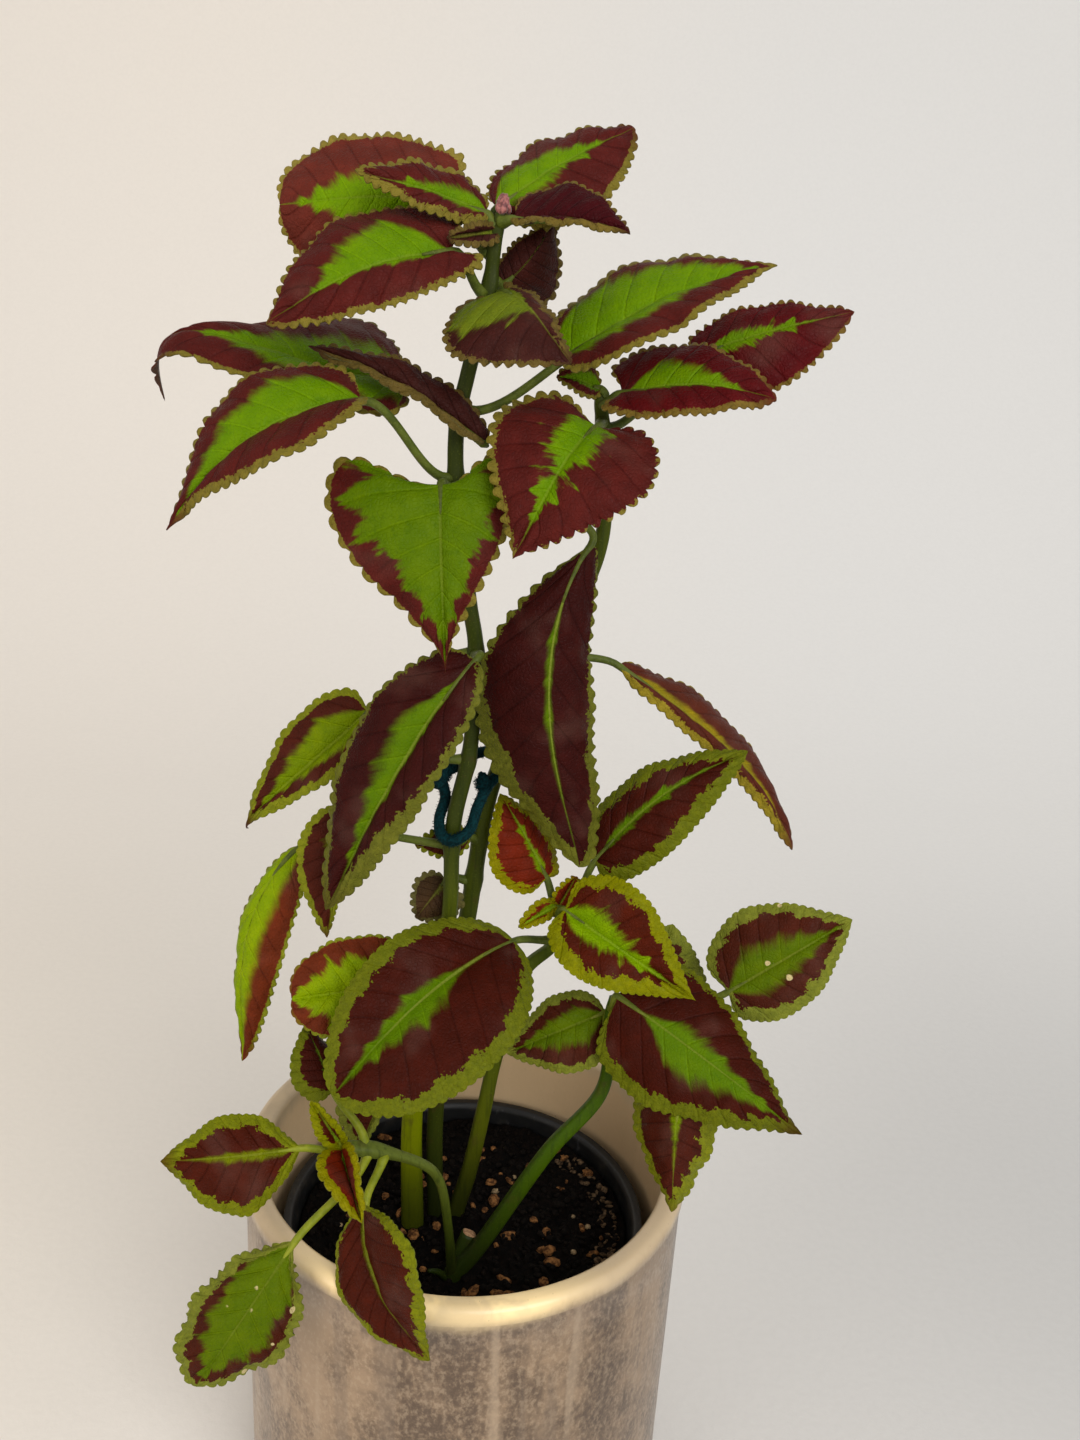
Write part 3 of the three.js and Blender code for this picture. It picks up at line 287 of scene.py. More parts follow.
LOOKS = {
    "top_back_left": Look("back", (-0.1, 0.92, 0.36, 0.4), (0.5, 0.9), hold=2.4, quilt=0.55, speckle=0.7,
        tip=1),
    "top_small_left": Look("upper", (-0.15, 0.72, 0.5, 0.52), (1, 1.1), tip=1, speckle=1.3),
    "top_front_left": Look("upper", (-0.04, 0.76, 0.22, 0.72), (0.5, 0.1), hold=1.6, quilt=0.6, tip=0.6,
        speckle=0.8),
    "top_back_right": Look("upper", (-0.2, 0.78, 0.72, 0.34), (0.1, 0.9), hold=1.6),
    "top_small_right": Look("wine", (0.1, 0.8, 0.02, 0.5), (0.1, 0.8), flame=0.3, speckle=0.8),
    "heart_small": Look("dusk", (-0.9, 0.52, 0.4, 1.2), (1.9, 0.8), hold=3.4, speckle=1.2, flame=0.3,
        tooth=0.4),
    "behind_heart": Look("dusk", (0, 0.05, 0, 0), (0.4, 0.8), tip=0),
    "upper_right_big": Look("upper", (-0.3, 0.94, 0.84, 0.5), (1.1, 0.5), hold=2.8, quilt=0.5, tip=1,
        speckle=0.8),
    "far_right": Look("red", (0, 0.78, 0.34, 0.2), flame=0.3),
    "red_right": Look("red", (0, 0.8, 0.62, 0.2), (0.3, 0.7), flame=0.2, speckle=0.8),
    "heart_dark_front": Look("upper", (-0.2, 0.86, 0.42, 0.44), (-0.9, 1.1), hold=1.1, flame=0.34,
        speckle=1.3, tip=0.8, quilt=0.5),
    "mate_tip": Look("upper", (-0.8, 1.2, 0.85, 0.9), (0.3, 0.2)),
    "upper_left": Look("upper", (-0.4, 0.84, 0.74, 0.5), hold=2.4, tip=0),
    "left_long": Look("upper", (-0.2, 0.98, 0.14, 0.72), (0.9, 0.2), hold=1.8, tip=0, speckle=0.9),
    "edge_on": Look("dusk", (0, 0.1, 0, 0), (0.9, 0.1), tip=0),
    "heart_green": Look("heart", (-0.9, 1.04, 1.06, 1), hold=2.2, flame=0.4, quilt=0.8, tip=0.1),
    "dark_hanging": Look("hanging", (0.1, 0.8, 0.07, 0.09), (3, 5.8), grow=0.85, flame=0.12, rib=0.9,
        speckle=1.3, tip=1, quilt=0.6, veins=8, tooth=0.3),
    "left_dark_big": Look("hanging", (0.04, 0.86, 0.12, 0.46), (4, 2), grow=0.75, flame=0.16, rib=0.6,
        speckle=1.3, tip=0.6, quilt=0.5, veins=8, tooth=0.3),
    "left_back": Look("pale", (-0.1, 0.9, 0.5, 0.6), (1.6, 1.8), hold=1.7, tip=0, tooth=0.27),
    "left_drooping": Look("lit", (-0.6, 1.1, 0.5, 0.96), (0.5, 0.1), hold=3, tip=0, flame=0.1, tooth=0.27),
    "left_low_narrow": Look("pale", (-0.1, 0.8, 0.5, 0.45), (1.8, 1.8), tooth=0.24),
    "right_drooping": Look("autumn", (-0.1, 0.96, 0.2, 0.2), (0.2, 1.1), flame=0.12, rib=0.4, speckle=0.7,
        tooth=0.27),
    "crown_right": Look("lower", (0, 0.9, 0.2, 0.15), (3.6, 3.6), tip=1, flame=0.16, speckle=1.2, rib=0.5,
        veins=8, tooth=0.24),
    "crown_left": Look("young", (-0.1, 0.86, 0.2, 0.2), (2.6, 2.2), tip=1, flame=0.2, speckle=1.2, rib=0.6,
        tooth=0.24),
    "crown_front": Look("front", (-0.1, 0.8, 0.46, 0.4), (3.2, 4), tip=1, flame=0.24, speckle=1.4,
        quilt=0.5, tooth=0.3),
    "lower_front_big": Look("lower", (0.24, 1.02, 0.24, 0.2), (4.6, 4), tip=1, flame=0.14, speckle=1.3,
        rib=0.8, veins=8, tooth=0.24),
    "bright_puckered": Look("lit", (-0.6, 1.16, 0.84, 0.76), (0.4, 0.2), hold=3, flame=0.3, quilt=1, wave=1,
        tooth=0.27),
    "low_back_left": Look("lower", (-0.1, 0.9, 0.1, 0.1), (3, 1.2), tip=1, tooth=0.24),
    "low_middle_pale": Look("rim", (-0.1, 0.95, 0.5, 0.5), (2.6, 2.4), hold=1.7, tip=1, speckle=1,
        tooth=0.24),
    "low_right_big": Look("lower", (0.12, 0.95, 0.26, 0.48), (1.9, 4), hold=1.6, tip=0.2, flame=0.16,
        speckle=1.2, rib=0.5, veins=8, tooth=0.27),
    "low_far_right": Look("rim", (-0.1, 0.95, 0.44, 0.42), (3.2, 3.6), hold=1.9, tip=1, flame=0.14,
        speckle=1.3, rib=0.5, tooth=0.24, spots=1),
    "low_behind": Look("rim", (-0.1, 0.5, 0.2, 0.2), (7, 7), tip=1, speckle=1.8, tooth=0.24),
    "low_hanging_right": Look("pale", (-0.1, 0.6, 0.12, 0.12), (5.8, 4.6), tip=0.6, flame=0.14, speckle=1.4,
        tooth=0.24),
    "rim_left": Look("warm", (-0.1, 0.86, 0.16, 0.16), (4, 3.6), tip=0.3, flame=0.1, speckle=1.4, rib=0.4,
        veins=8, tooth=0.2),
    "rim_left_hanging": Look("rim", (-0.6, 0.98, 0.74, 0.72), (2.6, 3.4), hold=3.4, tip=1, flame=0.3,
        speckle=1.2, quilt=0.7, wave=0.9, tooth=0.4, spots=1),
    "rim_front_hanging": Look("warm", (-0.1, 0.72, 0.07, 0.07), (3.2, 1.8), tip=0.8, flame=0.1, speckle=1.2,
        rib=0.5, veins=8, tooth=0.2),
    "low_behind_left": Look("rim", (0, 0.5, 0.1, 0.1), (3, 3), tip=1, speckle=1.2, tooth=0.24),
    "old_small": Look("pale", (-0.5, 0.8, 0.7, 0.6), (0.4, 0.8)),
    "old_curled": Look("dull", (0, 0.5, 0.2, 0.1), (1, 1), wave=1),
    "tip_tall": Look("dusk", (0, 0.4, 0.1, 0.1), (0.4, 0.4), quilt=0.2),
    "tip_middle_left": Look("young", (-0.2, 0.9, 0.5, 0.5), (1.2, 1.2), tip=1, quilt=0.2, wave=0.2,
        tooth=0.3),
    "tip_middle_up": Look("young", (0, 0.4, 0.1, 0.1), (0.3, 0.3), quilt=0.2),
    "tip_side_up": Look("front", (0, 0.6, 0.15, 0.15), (1.9, 1.9), tip=1, quilt=0.25, wave=0.3, tooth=0.24),
    "tip_side_down": Look("young", (0, 0.6, 0.1, 0.1), (2.3, 2.3), tip=1, quilt=0.25, wave=0.3, tooth=0.24),
}

# ---- shader graphs ----


def srgb(code):
    """A Blender colour from an sRGB code such as #a0b1c2."""
    channels = [int(code[i:i + 2], 16) / 255 for i in (1, 3, 5)]
    return (*[c / 12.92 if c <= 0.04045 else ((c + 0.055) / 1.055) ** 2.4 for c in channels], 1)


def operator(operation):
    """A way to write one kind of math node as arithmetic."""
    return lambda self, other: self.graph.math(operation, self, other)


class Value:
    """What a node gives out. Arithmetic with it adds math nodes to the same tree."""

    def __init__(self, graph, socket):
        self.graph = graph
        self.socket = socket

    __add__ = operator("ADD")
    __sub__ = operator("SUBTRACT")
    __mul__ = operator("MULTIPLY")
    __truediv__ = operator("DIVIDE")
    __pow__ = operator("POWER")

    def __rsub__(self, other):
        return self.graph.math("SUBTRACT", other, self)

    def __abs__(self):
        return self.graph.math("ABSOLUTE", self)


class Graph:
    """Short calls that add and link the nodes of one shader tree."""

    def __init__(self, tree):
        self.tree = tree

    def feed(self, socket, value):
        if isinstance(value, Value):
            self.tree.links.new(value.socket, socket)
        else:
            socket.default_value = value

    def outputs(self, kind, inputs=(), **settings):
        """All that a new node gives out; its inputs are listed in order, or go by number or name."""
        made = self.tree.nodes.new(kind)
        for name, value in settings.items():
            setattr(made, name, value)
        for key, value in inputs.items() if isinstance(inputs, dict) else enumerate(inputs):
            self.feed(made.inputs[key], value)
        return [Value(self, socket) for socket in made.outputs]

    def node(self, kind, inputs=(), **settings):
        return self.outputs(kind, inputs, **settings)[0]

    @cached_property
    def place(self):
        """The point of the mesh, in metres in the object's own frame."""
        named = {value.socket.name: value for value in self.outputs("ShaderNodeTexCoord")}
        return named["Object"]

    def math(self, operation, *values):
        return self.node("ShaderNodeMath", values, operation=operation)

    def vector(self, *values):
        return self.node("ShaderNodeCombineXYZ", values)

    def parts(self, vector):
        return self.outputs("ShaderNodeSeparateXYZ", [vector])

    def arrow(self, operation, *values):
        return self.node("ShaderNodeVectorMath", values, operation=operation)

    def attribute(self, name):
        """The three numbers that an attribute of the mesh holds."""
        return self.parts(self.outputs("ShaderNodeAttribute", attribute_name=name)[1])

    def step(self, value, low, high):
        """0 below low, 1 above high, smooth between; low may be the higher one."""
        return self.node("ShaderNodeMapRange", (value, low, high), interpolation_type="SMOOTHSTEP")

    def blend(self, factor, a, b):
        """The number a where the factor is 0 and b where it is 1."""
        return self.node("ShaderNodeMix", {0: factor, 2: a, 3: b}, data_type="FLOAT")

    def mix(self, factor, a, b, kind="MIX"):
        """The colour a where the factor is 0 and b where it is 1."""
        inputs = {0: factor, 6: a, 7: b}
        return self.outputs("ShaderNodeMix", inputs, data_type="RGBA", blend_type=kind)[2]

    def shade(self, colour, factor, by):
        """The colour, times the three numbers by where the factor is 1."""
        return self.mix(factor, colour, (*by, 1), "MULTIPLY")

    def tones(self, value, low, high, first, second):
        """From the first colour code to the second as the value steps from low to high."""
        return self.mix(self.step(value, low, high), srgb(first), srgb(second))

    def tint(self, colour, value, low, high, code, amount):
        """The colour, taken this amount towards the code's as the value steps from low to high."""
        return self.mix(self.step(value, low, high) * amount, colour, srgb(code))

    def noise(self, scale, detail=2, rough=0.5, at=None, tall=None):
        """Noise at a point, the mesh's own if none is given; tall below 1 draws it out upwards."""
        at = at or self.place
        if tall:
            at = self.arrow("MULTIPLY", at, (1, 1, tall))
        inputs = {"Vector": at, "Scale": scale, "Detail": detail, "Roughness": rough}
        return self.node("ShaderNodeTexNoise", inputs)

    def cells(self, scale, feature="F1"):
        """The distance to the middle or to the edge of irregular cells."""
        inputs = {"Vector": self.place, "Scale": scale}
        return self.node("ShaderNodeTexVoronoi", inputs, feature=feature)


class Material(Graph):
    """A material with one Principled shader; uniform values go on the shader's own sockets."""

    def __init__(self, name, **uniform):
        self.material = bpy.data.materials.new(name)
        self.material.use_nodes = True
        super().__init__(self.material.node_tree)
        self.shader = self.tree.nodes["Principled BSDF"]
        for socket, value in uniform.items():
            self.shader.inputs[socket.replace("_", " ")].default_value = value

    def finish(self, colour, roughness, height=None, strength=0, depth=0):
        """Gives the shader its colour, roughness and bumps of a depth in metres."""
        self.feed(self.shader.inputs["Base Color"], colour)
        self.feed(self.shader.inputs["Roughness"], roughness)
        if height:
            inputs = {"Strength": strength, "Distance": depth, "Height": height}
            self.feed(self.shader.inputs["Normal"], self.node("ShaderNodeBump", inputs))
        return self.material


VEIN_SLANT = 0.2
LEAF_SOCKETS = (
    ("INPUT", "Color", ("Band", "Centre", "Margin")),
    ("INPUT", "Float", ("Start", "End", "Left", "Right", "Hold", "Margin left", "Margin right",
        "Grow", "Tip", "Flame", "Speckle", "Rib", "Veins", "Spots")),
    ("OUTPUT", "Color", ("Colour",)),
    ("OUTPUT", "Float", ("Height", "Roughness")),
)


def leaf_group():
    """Colour, height and roughness of a blade, from where a point lies on it."""
    tree = bpy.data.node_groups.new("leaf_pattern", "ShaderNodeTree")
    for way, kind, names in LEAF_SOCKETS:
        for name in names:
            tree.interface.new_socket(name, in_out=way, socket_type="NodeSocket" + kind)
    g = Graph(tree)
    given = {value.socket.name: value for value in g.outputs("NodeGroupInput")}
    along, across, edge = g.attribute("leaf")
    from_rib, under, _ = g.attribute("blade")
    share = abs(across)
    is_right = g.math("GREATER_THAN", across, 0)
    root = along - share * VEIN_SLANT
    veins = root * given["Veins"]
    broad = g.noise(70) - 0.5
    coarse = g.noise(230, 3) - 0.5
    middling = g.noise(620, 3) - 0.5
    fine = g.noise(1500) - 0.5
    streak = g.noise(1, 3, at=g.vector(veins * 2.2, share * 2, along)) - 0.5
    brush = g.noise(1, at=g.vector(veins * 9, share * 3, along)) - 0.5

    # how near a side vein is: 0 on it, 0.5 half way to the next
    to_vein = abs(g.math("FRACT", veins + 0.5) - 0.5)
    on_vein = g.step(to_vein, 0.05, 0.012) * g.step(share, 1, 0.7)

    # the lime centre runs out along the veins in ragged flames
    run = (root - given["Start"]) / (given["End"] - given["Start"])
    run = g.math("MAXIMUM", g.math("MINIMUM", run, 1), 0)
    reach = g.blend(is_right, given["Left"], given["Right"])
    reach = reach * (g.step(run, 0, 0.24) * (1 - run ** given["Hold"]))
    flame = ((1 - to_vein * 2) ** 1.7 - 0.37) * (streak * 2.4 + 0.4)
    ragged = streak * 1.7 + (coarse * 0.9 + brush * 0.7)
    ragged = (ragged + flame) * given["Flame"] * g.step(reach, 0, 0.12)
    soft = g.step(reach, 0.05, 0.35) * (0.12 - given["Flame"] * 0.25) + 0.05
    lime = g.step(reach + ragged - share, soft * -1, soft)

    # the green margin, with dots and teeth
    wide = g.blend(is_right, given["Margin left"], given["Margin right"])
    wide = wide * g.blend(given["Grow"], 1, g.step(along, 0.25, 0.75))
    wide = wide * (coarse * 1.3 + streak * 1.3 + 1)
    wide = wide + (middling * 2.2 + fine * 2.4) * given["Speckle"]
    green = g.step(wide - edge, -0.14, 0.14)
    green = green * g.blend(given["Tip"], g.step(along, 0.99, 0.84), 1)

    # each zone's own variation
    band = g.shade(given["Band"], g.step(coarse, -0.2, 0.3), (1.4, 1.3, 1.25))
    band = g.shade(band, g.step(fine, 0.05, 0.25) * 0.5, (0.6, 0.6, 0.6))
    band = g.shade(band, on_vein * 0.6, (0.6, 0.55, 0.6))
    band = g.tint(band, broad, 0.02, 0.3, "#5a3c33", 0.4)
    centre = g.shade(given["Centre"], g.step(coarse, -0.2, 0.3), (1.3, 1.18, 1))
    centre = g.shade(centre, g.step(middling, 0.02, 0.35), (0.72, 0.8, 1))
    centre = g.shade(centre, on_vein * 0.6, (1.3, 1.25, 1))
    margin = g.shade(given["Margin"], g.step(middling, -0.2, 0.25), (1.35, 1.3, 1.3))
    margin = g.shade(margin, g.step(fine, 0.04, 0.3) * 0.7, (0.6, 0.5, 0.6))
    colour = g.mix(green, g.mix(lime, band, centre), margin)

    # the midrib thins towards the tip, and a few blades have pale flecks
    rib_width = g.blend(along, 0.62, 0.2)
    on_rib = g.step(from_rib, rib_width, rib_width * 0.4) * (given["Rib"] * g.step(along, 0.95, 0.5))
    colour = g.mix(on_rib, colour, g.mix(0.45, given["Centre"], srgb("#8c8c3c")))
    fleck = g.step(g.cells(145) + coarse * 0.4, 0.12, 0.08) * given["Spots"]
    colour = g.mix(fleck, colour, srgb("#b8a878"))

    # the lower side is paler and greyer
    pale = g.mix(0.4, colour, srgb("#565a3a"))
    purple = g.mix(0.35, pale, srgb("#42252c"))
    colour = g.mix(under, colour, g.mix(g.math("MAXIMUM", lime, green), purple, pale))

    net = g.step(g.cells(950, "DISTANCE_TO_EDGE"), 0, 0.22)
    height = net * 0.5 + fine * 0.5 + g.step(to_vein, 0, 0.09) + g.step(from_rib, 0, 0.7) * 0.8
    g.outputs("NodeGroupOutput", (colour, height, coarse * 0.2 + 0.45))
    return tree


def leaf_material(name, look, group):
    g = Material("leaf_" + name, Specular_IOR_Level=0.05)
    values = [srgb(code) for code in PALETTES[look.palette]]
    values += [*look.lime, look.hold, *look.margin, look.grow, look.tip, look.flame, look.speckle,
        look.rib, look.veins, look.spots]
    colour, height, roughness = g.outputs("ShaderNodeGroup", values, node_tree=group)
    return g.finish(colour, roughness, height, 0.7, 0.0003)


def stem_material(name, low, high, low_z, high_z):
    """Fleshy green skin, from one colour at the foot to another higher up, with long streaks and painted
    shade darkening it towards the peat.
    """
    g = Material("stem_" + name, Specular_IOR_Level=0.1)
    height = g.parts(g.place)[2]
    streak = g.noise(900, 3, tall=0.06)
    blotch = g.noise(160, 4, 0.6)
    pores = g.noise(2600)
    colour = g.tones(height, low_z * MM, high_z * MM, low, high)
    colour = g.tint(colour, streak, 0.48, 0.72, "#1b260a", 0.4)
    colour = g.tint(colour, blotch, 0.56, 0.72, "#43301a", 0.4)
    colour = g.tint(colour, pores, 0.6, 0.75, "#78822a", 0.25)
    # painted shade: the skin darkens towards the peat
    colour = g.tint(colour, height, 0.136, 0.1, "#161c08", 0.78)
    return g.finish(colour, blotch * 0.2 + 0.36, streak + pores * 0.4, 0.35, 0.0004)


def stalk_material():
    g = Material("leaf_stalk", Specular_IOR_Level=0.2)
    blotch = g.noise(260, 4, 0.6)
    hairs = g.noise(3200)
    young = g.tones(blotch, 0.35, 0.65, "#6c7610", "#848a1c")
    old = g.tones(blotch, 0.35, 0.65, "#3e4810", "#545e1a")
    colour = g.mix(g.step(g.parts(g.place)[2], 0.16, 0.2), young, old)
    colour = g.tint(colour, blotch, 0.58, 0.75, "#40301a", 0.5)
    colour = g.tint(colour, hairs, 0.6, 0.75, "#8a9450", 0.35)
    return g.finish(colour, hairs * 0.2 + 0.42, hairs, 0.3, 0.0003)


def cut_material():
    """The dried, cut end of a stem."""
    g = Material("cut_end")
    pith = g.noise(1400, 4, 0.7)
    colour = g.tones(pith, 0.35, 0.65, "#b08a63", "#7b5436")
    return g.finish(colour, pith * 0.2 + 0.7, pith, 0.6, 0.0005)


def bud_material():
    g = Material("pink_bud", Sheen_Weight=0.25)
    blotch = g.noise(900, 4, 0.6)
    colour = g.tones(blotch, 0.35, 0.62, "#5c2426", "#a0605a")
    return g.finish(colour, blotch * 0.25 + 0.5, blotch, 0.4, 0.0004)


def tie_material():
    g = Material("tie_fuzz", Specular_IOR_Level=0.1)
    fibre = g.noise(1800, 3)
    return g.finish(g.tones(fibre, 0.35, 0.65, "#021a1c", "#062f33"), fibre * 0.2 + 0.75)


def glaze_material():
    """Beige-white glaze marbled with brown-grey, with vertical drips, a paler lip band with a painted
    highlight at its front, and painted shade round the right.
    """
    g = Material("marbled_glaze", Specular_IOR_Level=0.3, Coat_Weight=0.25, Coat_Roughness=0.15)
    right, _, height = g.parts(g.place)
    warp = g.noise(30, 4, 0.6)
    bent = g.arrow("ADD", g.place, g.vector(warp * 0.02, warp * -0.015, 0))
    flow = g.noise(52, 4, 0.6, bent, 0.16)
    cloud = g.noise(95, 6, 0.66, bent)
    felt = g.noise(760, 4, 0.65, tall=0.7)
    drip = g.noise(120, tall=0.07)
    marble = flow * 0.75 + cloud * 0.5
    colour = g.tones(marble, 0.46, 0.78, "#967e64", "#62503f")
    colour = g.tint(colour, felt, 0.45, 0.62, "#4e3e31", g.step(marble, 0.48, 0.74) * 0.7)
    colour = g.tint(colour, felt, 0.5, 0.36, "#b09c82", 0.3)
    colour = g.tint(colour, drip, 0.56, 0.66, "#a8947c", 0.5)
    colour = g.tint(colour, drip, 0.43, 0.34, "#6d5e50", 0.35)
    # paler inside, and darker round on the right as painted shade
    away = g.outputs("ShaderNodeVectorMath", [g.arrow("MULTIPLY", g.place, (1, 1, 0))],
        operation="LENGTH")[1]
    colour = g.tint(colour, away, (POT_RADIUS - 3.2) * MM, (POT_RADIUS - 4.6) * MM, "#e0c298", 0.88)
    # painted shade: the glaze is dimmed on the pot's right side
    colour = g.shade(colour, g.step(right, 0.005, 0.055), (0.84, 0.82, 0.8))
    # the lip band: paler glaze with a painted highlight, warm and bright in front and greyer to the sides
    lip = g.tones(abs(right + 0.006), 0.018, 0.05, "#ffe2a8", "#bfa988")
    lip = g.tint(lip, flow, 0.5, 0.64, "#a8957a", 0.4)
    edge = height + (flow - 0.5) * 0.012
    band = g.step(edge, (POT_HEIGHT - 8) * MM, (POT_HEIGHT - 1.4) * MM)
    colour = g.mix(band * 0.95, colour, lip)
    colour = g.tint(colour, g.noise(1900), 0.74, 0.78, "#4b4238", 0.7)
    return g.finish(colour, felt * 0.3 + 0.2, felt * 0.5 + cloud, 0.12, 0.0006)


def nursery_material():
    g = Material("nursery_plastic", Specular_IOR_Level=0.45)
    dust = g.noise(140, 5, 0.65)
    scuff = g.noise(900, 3, tall=0.2)
    colour = g.tones(dust, 0.5, 0.75, "#0b0c0d", "#2a261f")
    colour = g.tint(colour, scuff, 0.62, 0.75, "#4a4a4c", 0.4)
    return g.finish(colour, dust * 0.35 + 0.32, scuff, 0.15, 0.0004)


def peat_material():
    g = Material("peat", Specular_IOR_Level=0.08)
    crumb = g.noise(420, 6, 0.7)
    grain = g.noise(1500, 4, 0.7)
    colour = g.tones(crumb, 0.38, 0.68, "#040302", "#120b07")
    colour = g.tint(colour, grain, 0.68, 0.76, "#4a3322", 0.4)
    return g.finish(colour, grain * 0.15 + 0.8, crumb + grain * 0.5, 0.8, 0.0012)


def chip_material(name, dark, light):
    g = Material(name, Specular_IOR_Level=0.1)
    grain = g.noise(700, 5, 0.7)
    colour = g.tones(grain, 0.38, 0.64, dark, light)
    return g.finish(colour, grain * 0.2 + 0.75, grain, 0.6, 0.0006)


def room_material():
    """Matt paint with a fine grain, with a painted warm light to the left and painted shade on the floor
    near the pot, deeper on the right.
    """
    g = Material("room_paint", Specular_IOR_Level=0.2)
    x, y, _ = g.parts(g.place)
    grain = g.noise(300, 3, 0.55)
    # painted warm light on the left, cooler to the right
    colour = g.tones(x, -0.35, 0.35, "#eae4dc", "#e2e1df")
    # painted shade on the floor near the pot: deep on the right, lighter and warm on the left
    near = g.step(y, 0.6, 0.05)
    colour = g.shade(colour, g.step(x, -0.1, 0.3) * near, (0.7, 0.7, 0.7))
    colour = g.shade(colour, g.step(x, 0.05, -0.3) * near, (0.9, 0.88, 0.84))
    colour = g.shade(colour, g.step(grain, 0.35, 0.7) * 0.5, (0.97, 0.97, 0.97))
    return g.finish(colour, grain * 0.2 + 0.6, grain, 0.15, 0.001)


# ---- curves and meshes ----


def unit(vector):
    return vector / np.linalg.norm(vector)


def soft_step(value, low, high):
    share = np.clip((value - low) / (high - low), 0, 1)
    return share * share * (3 - 2 * share)


def bell(value, width):
    """1 where the value is 0, and falling off to both sides."""
    return np.exp(-((value / width) ** 2))


def circle(sides):
    """The angles of the points round a ring."""
    return 2 * np.pi * np.arange(sides) / sides


def around(away, turn):
    """The x and y of a point at a distance from the axis."""
    return away * math.cos(turn), away * math.sin(turn)


def spline(points, count, closed=False):
    """The points and radii of the model's centripetal Catmull-Rom curve, at count + 1 places."""
    given = [np.array(p, float) for p in points]
    spans = len(given) if closed else len(given) - 1
    ends = [2 * given[0] - given[1], 2 * given[-1] - given[-2]]
    run = [given[-1], *given, *given[:2]] if closed else [ends[0], *given, ends[1]]
    made = []
    for k in range(count if closed else count + 1):
        place = spans * k / count
        i = min(int(place), spans - 1)
        share = place - i
        x0, x1, x2, x3 = run[i:i + 4]
        d0, d1, d2 = (np.linalg.norm((b - a)[:3]) ** 0.5 for a, b in ((x0, x1), (x1, x2), (x2, x3)))
        t1 = ((x1 - x0) / d0 - (x2 - x0) / (d0 + d1) + (x2 - x1) / d1) * d1
        t2 = ((x2 - x1) / d1 - (x3 - x1) / (d1 + d2) + (x3 - x2) / d2) * d1
        c2 = -3 * x1 + 3 * x2 - 2 * t1 - t2
        c3 = 2 * x1 - 2 * x2 + t1 + t2
        point = x1 + t1 * share + c2 * share**2 + c3 * share**3
        if len(point) > 3:
            point[3] = x1[3] + (x2[3] - x1[3]) * share
        made.append(point)
    return np.array(made)


class Mesh:
    """Points in millimetres and faces, gathered from several forms, with a material for each."""

    def __init__(self):
        self.points = []
        self.faces = []
        self.slots = []
        self.count = 0

    def put(self, points, faces, material=0):
        self.points.append(np.asarray(points, float).reshape(-1, 3))
        self.faces += [tuple(int(i) + self.count for i in face) for face in faces]
        self.slots += [material] * len(faces)
        self.count += len(points)
        return self

    def build(self, name, materials, slot_name, node):
        """Makes the piece that is seen in place of a node of the model."""
        mesh = bpy.data.meshes.new(name)
        mesh.from_pydata((np.concatenate(self.points) * MM).tolist(), [], self.faces)
        for material in materials:
            mesh.materials.append(material)
        mesh.polygons.foreach_set("material_index", self.slots)
        mesh.polygons.foreach_set("use_smooth", [True] * len(self.faces))
        piece = add_object(name, mesh)
        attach(piece, BODY)
        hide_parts(node)
        return piece


def add_object(name, data):
    made = bpy.data.objects.new(name, data)
    bpy.context.collection.objects.link(made)
    return made


def ring_faces(rings, sides, closed=False):
    """Quads between rings of points; unless they close, fans to two more points end them."""
    faces = []
    for i in range(rings if closed else rings - 1):
        low = i * sides
        high = (i + 1) % rings * sides
        for k in range(sides):
            nxt = (k + 1) % sides
            faces.append((low + k, low + nxt, high + nxt, high + k))
    if not closed:
        end = (rings - 1) * sides
        first = rings * sides
        for k in range(sides):
            nxt = (k + 1) % sides
            faces += [(first, nxt, k), (first + 1, end + k, end + nxt)]
    return faces


def tube(points, radii, sides, section=np.ones_like, closed=False):
    """Points and faces of a tube; section gives the radius share at each turn."""
    points = np.asarray(points, float)
    turns = circle(sides)
    shares = section(turns)
    across = np.array((0.0, 1.0, 0.0))
    rings = []
    for i, point in enumerate(points):
        before = points[i - 1] if closed or i else point
        after = points[(i + 1) % len(points)] if closed or i + 1 < len(points) else point
        along = unit(after - before)
        across = unit(across - along * across.dot(along))
        other = np.cross(along, across)
        spread = (radii[i] * shares)[:, None]
        rings.append(point + spread * (np.cos(turns)[:, None] * across + np.sin(turns)[:, None] * other))
    if not closed:
        rings += [points[:1], points[-1:]]
    return np.concatenate(rings), ring_faces(len(points), sides, closed)


def lathe(profile, sides):
    """Points and faces of a closed turned form; the profile starts and ends on the axis."""
    turns = circle(sides)
    rings = [np.stack([r * np.cos(turns), r * np.sin(turns), np.full(sides, z)], 1)
        for r, z in profile[1:-1]]
    ends = [[(0, 0, profile[0][1])], [(0, 0, profile[-1][1])]]
    return np.concatenate(rings + ends), ring_faces(len(rings), sides)


def rounded(profile, corner, steps=5):
    """The profile with each inner corner turned into a small arc (a quadratic curve)."""
    made = [profile[0]]
    for before, at, after in zip(profile, profile[1:], profile[2:]):
        a, b, c = (np.array(p, float) for p in (before, at, after))
        size = min(corner, np.linalg.norm(b - a) * 0.45, np.linalg.norm(c - b) * 0.45)
        start = b + unit(a - b) * size
        end = b + unit(c - b) * size
        for t in np.arange(steps + 1) / steps:
            made.append(tuple((1 - t) ** 2 * start + 2 * t * (1 - t) * b + t**2 * end))
    made.append(profile[-1])
    return made


WOBBLE = (0.82, 1.12)
PEBBLE_TILT = 0.5


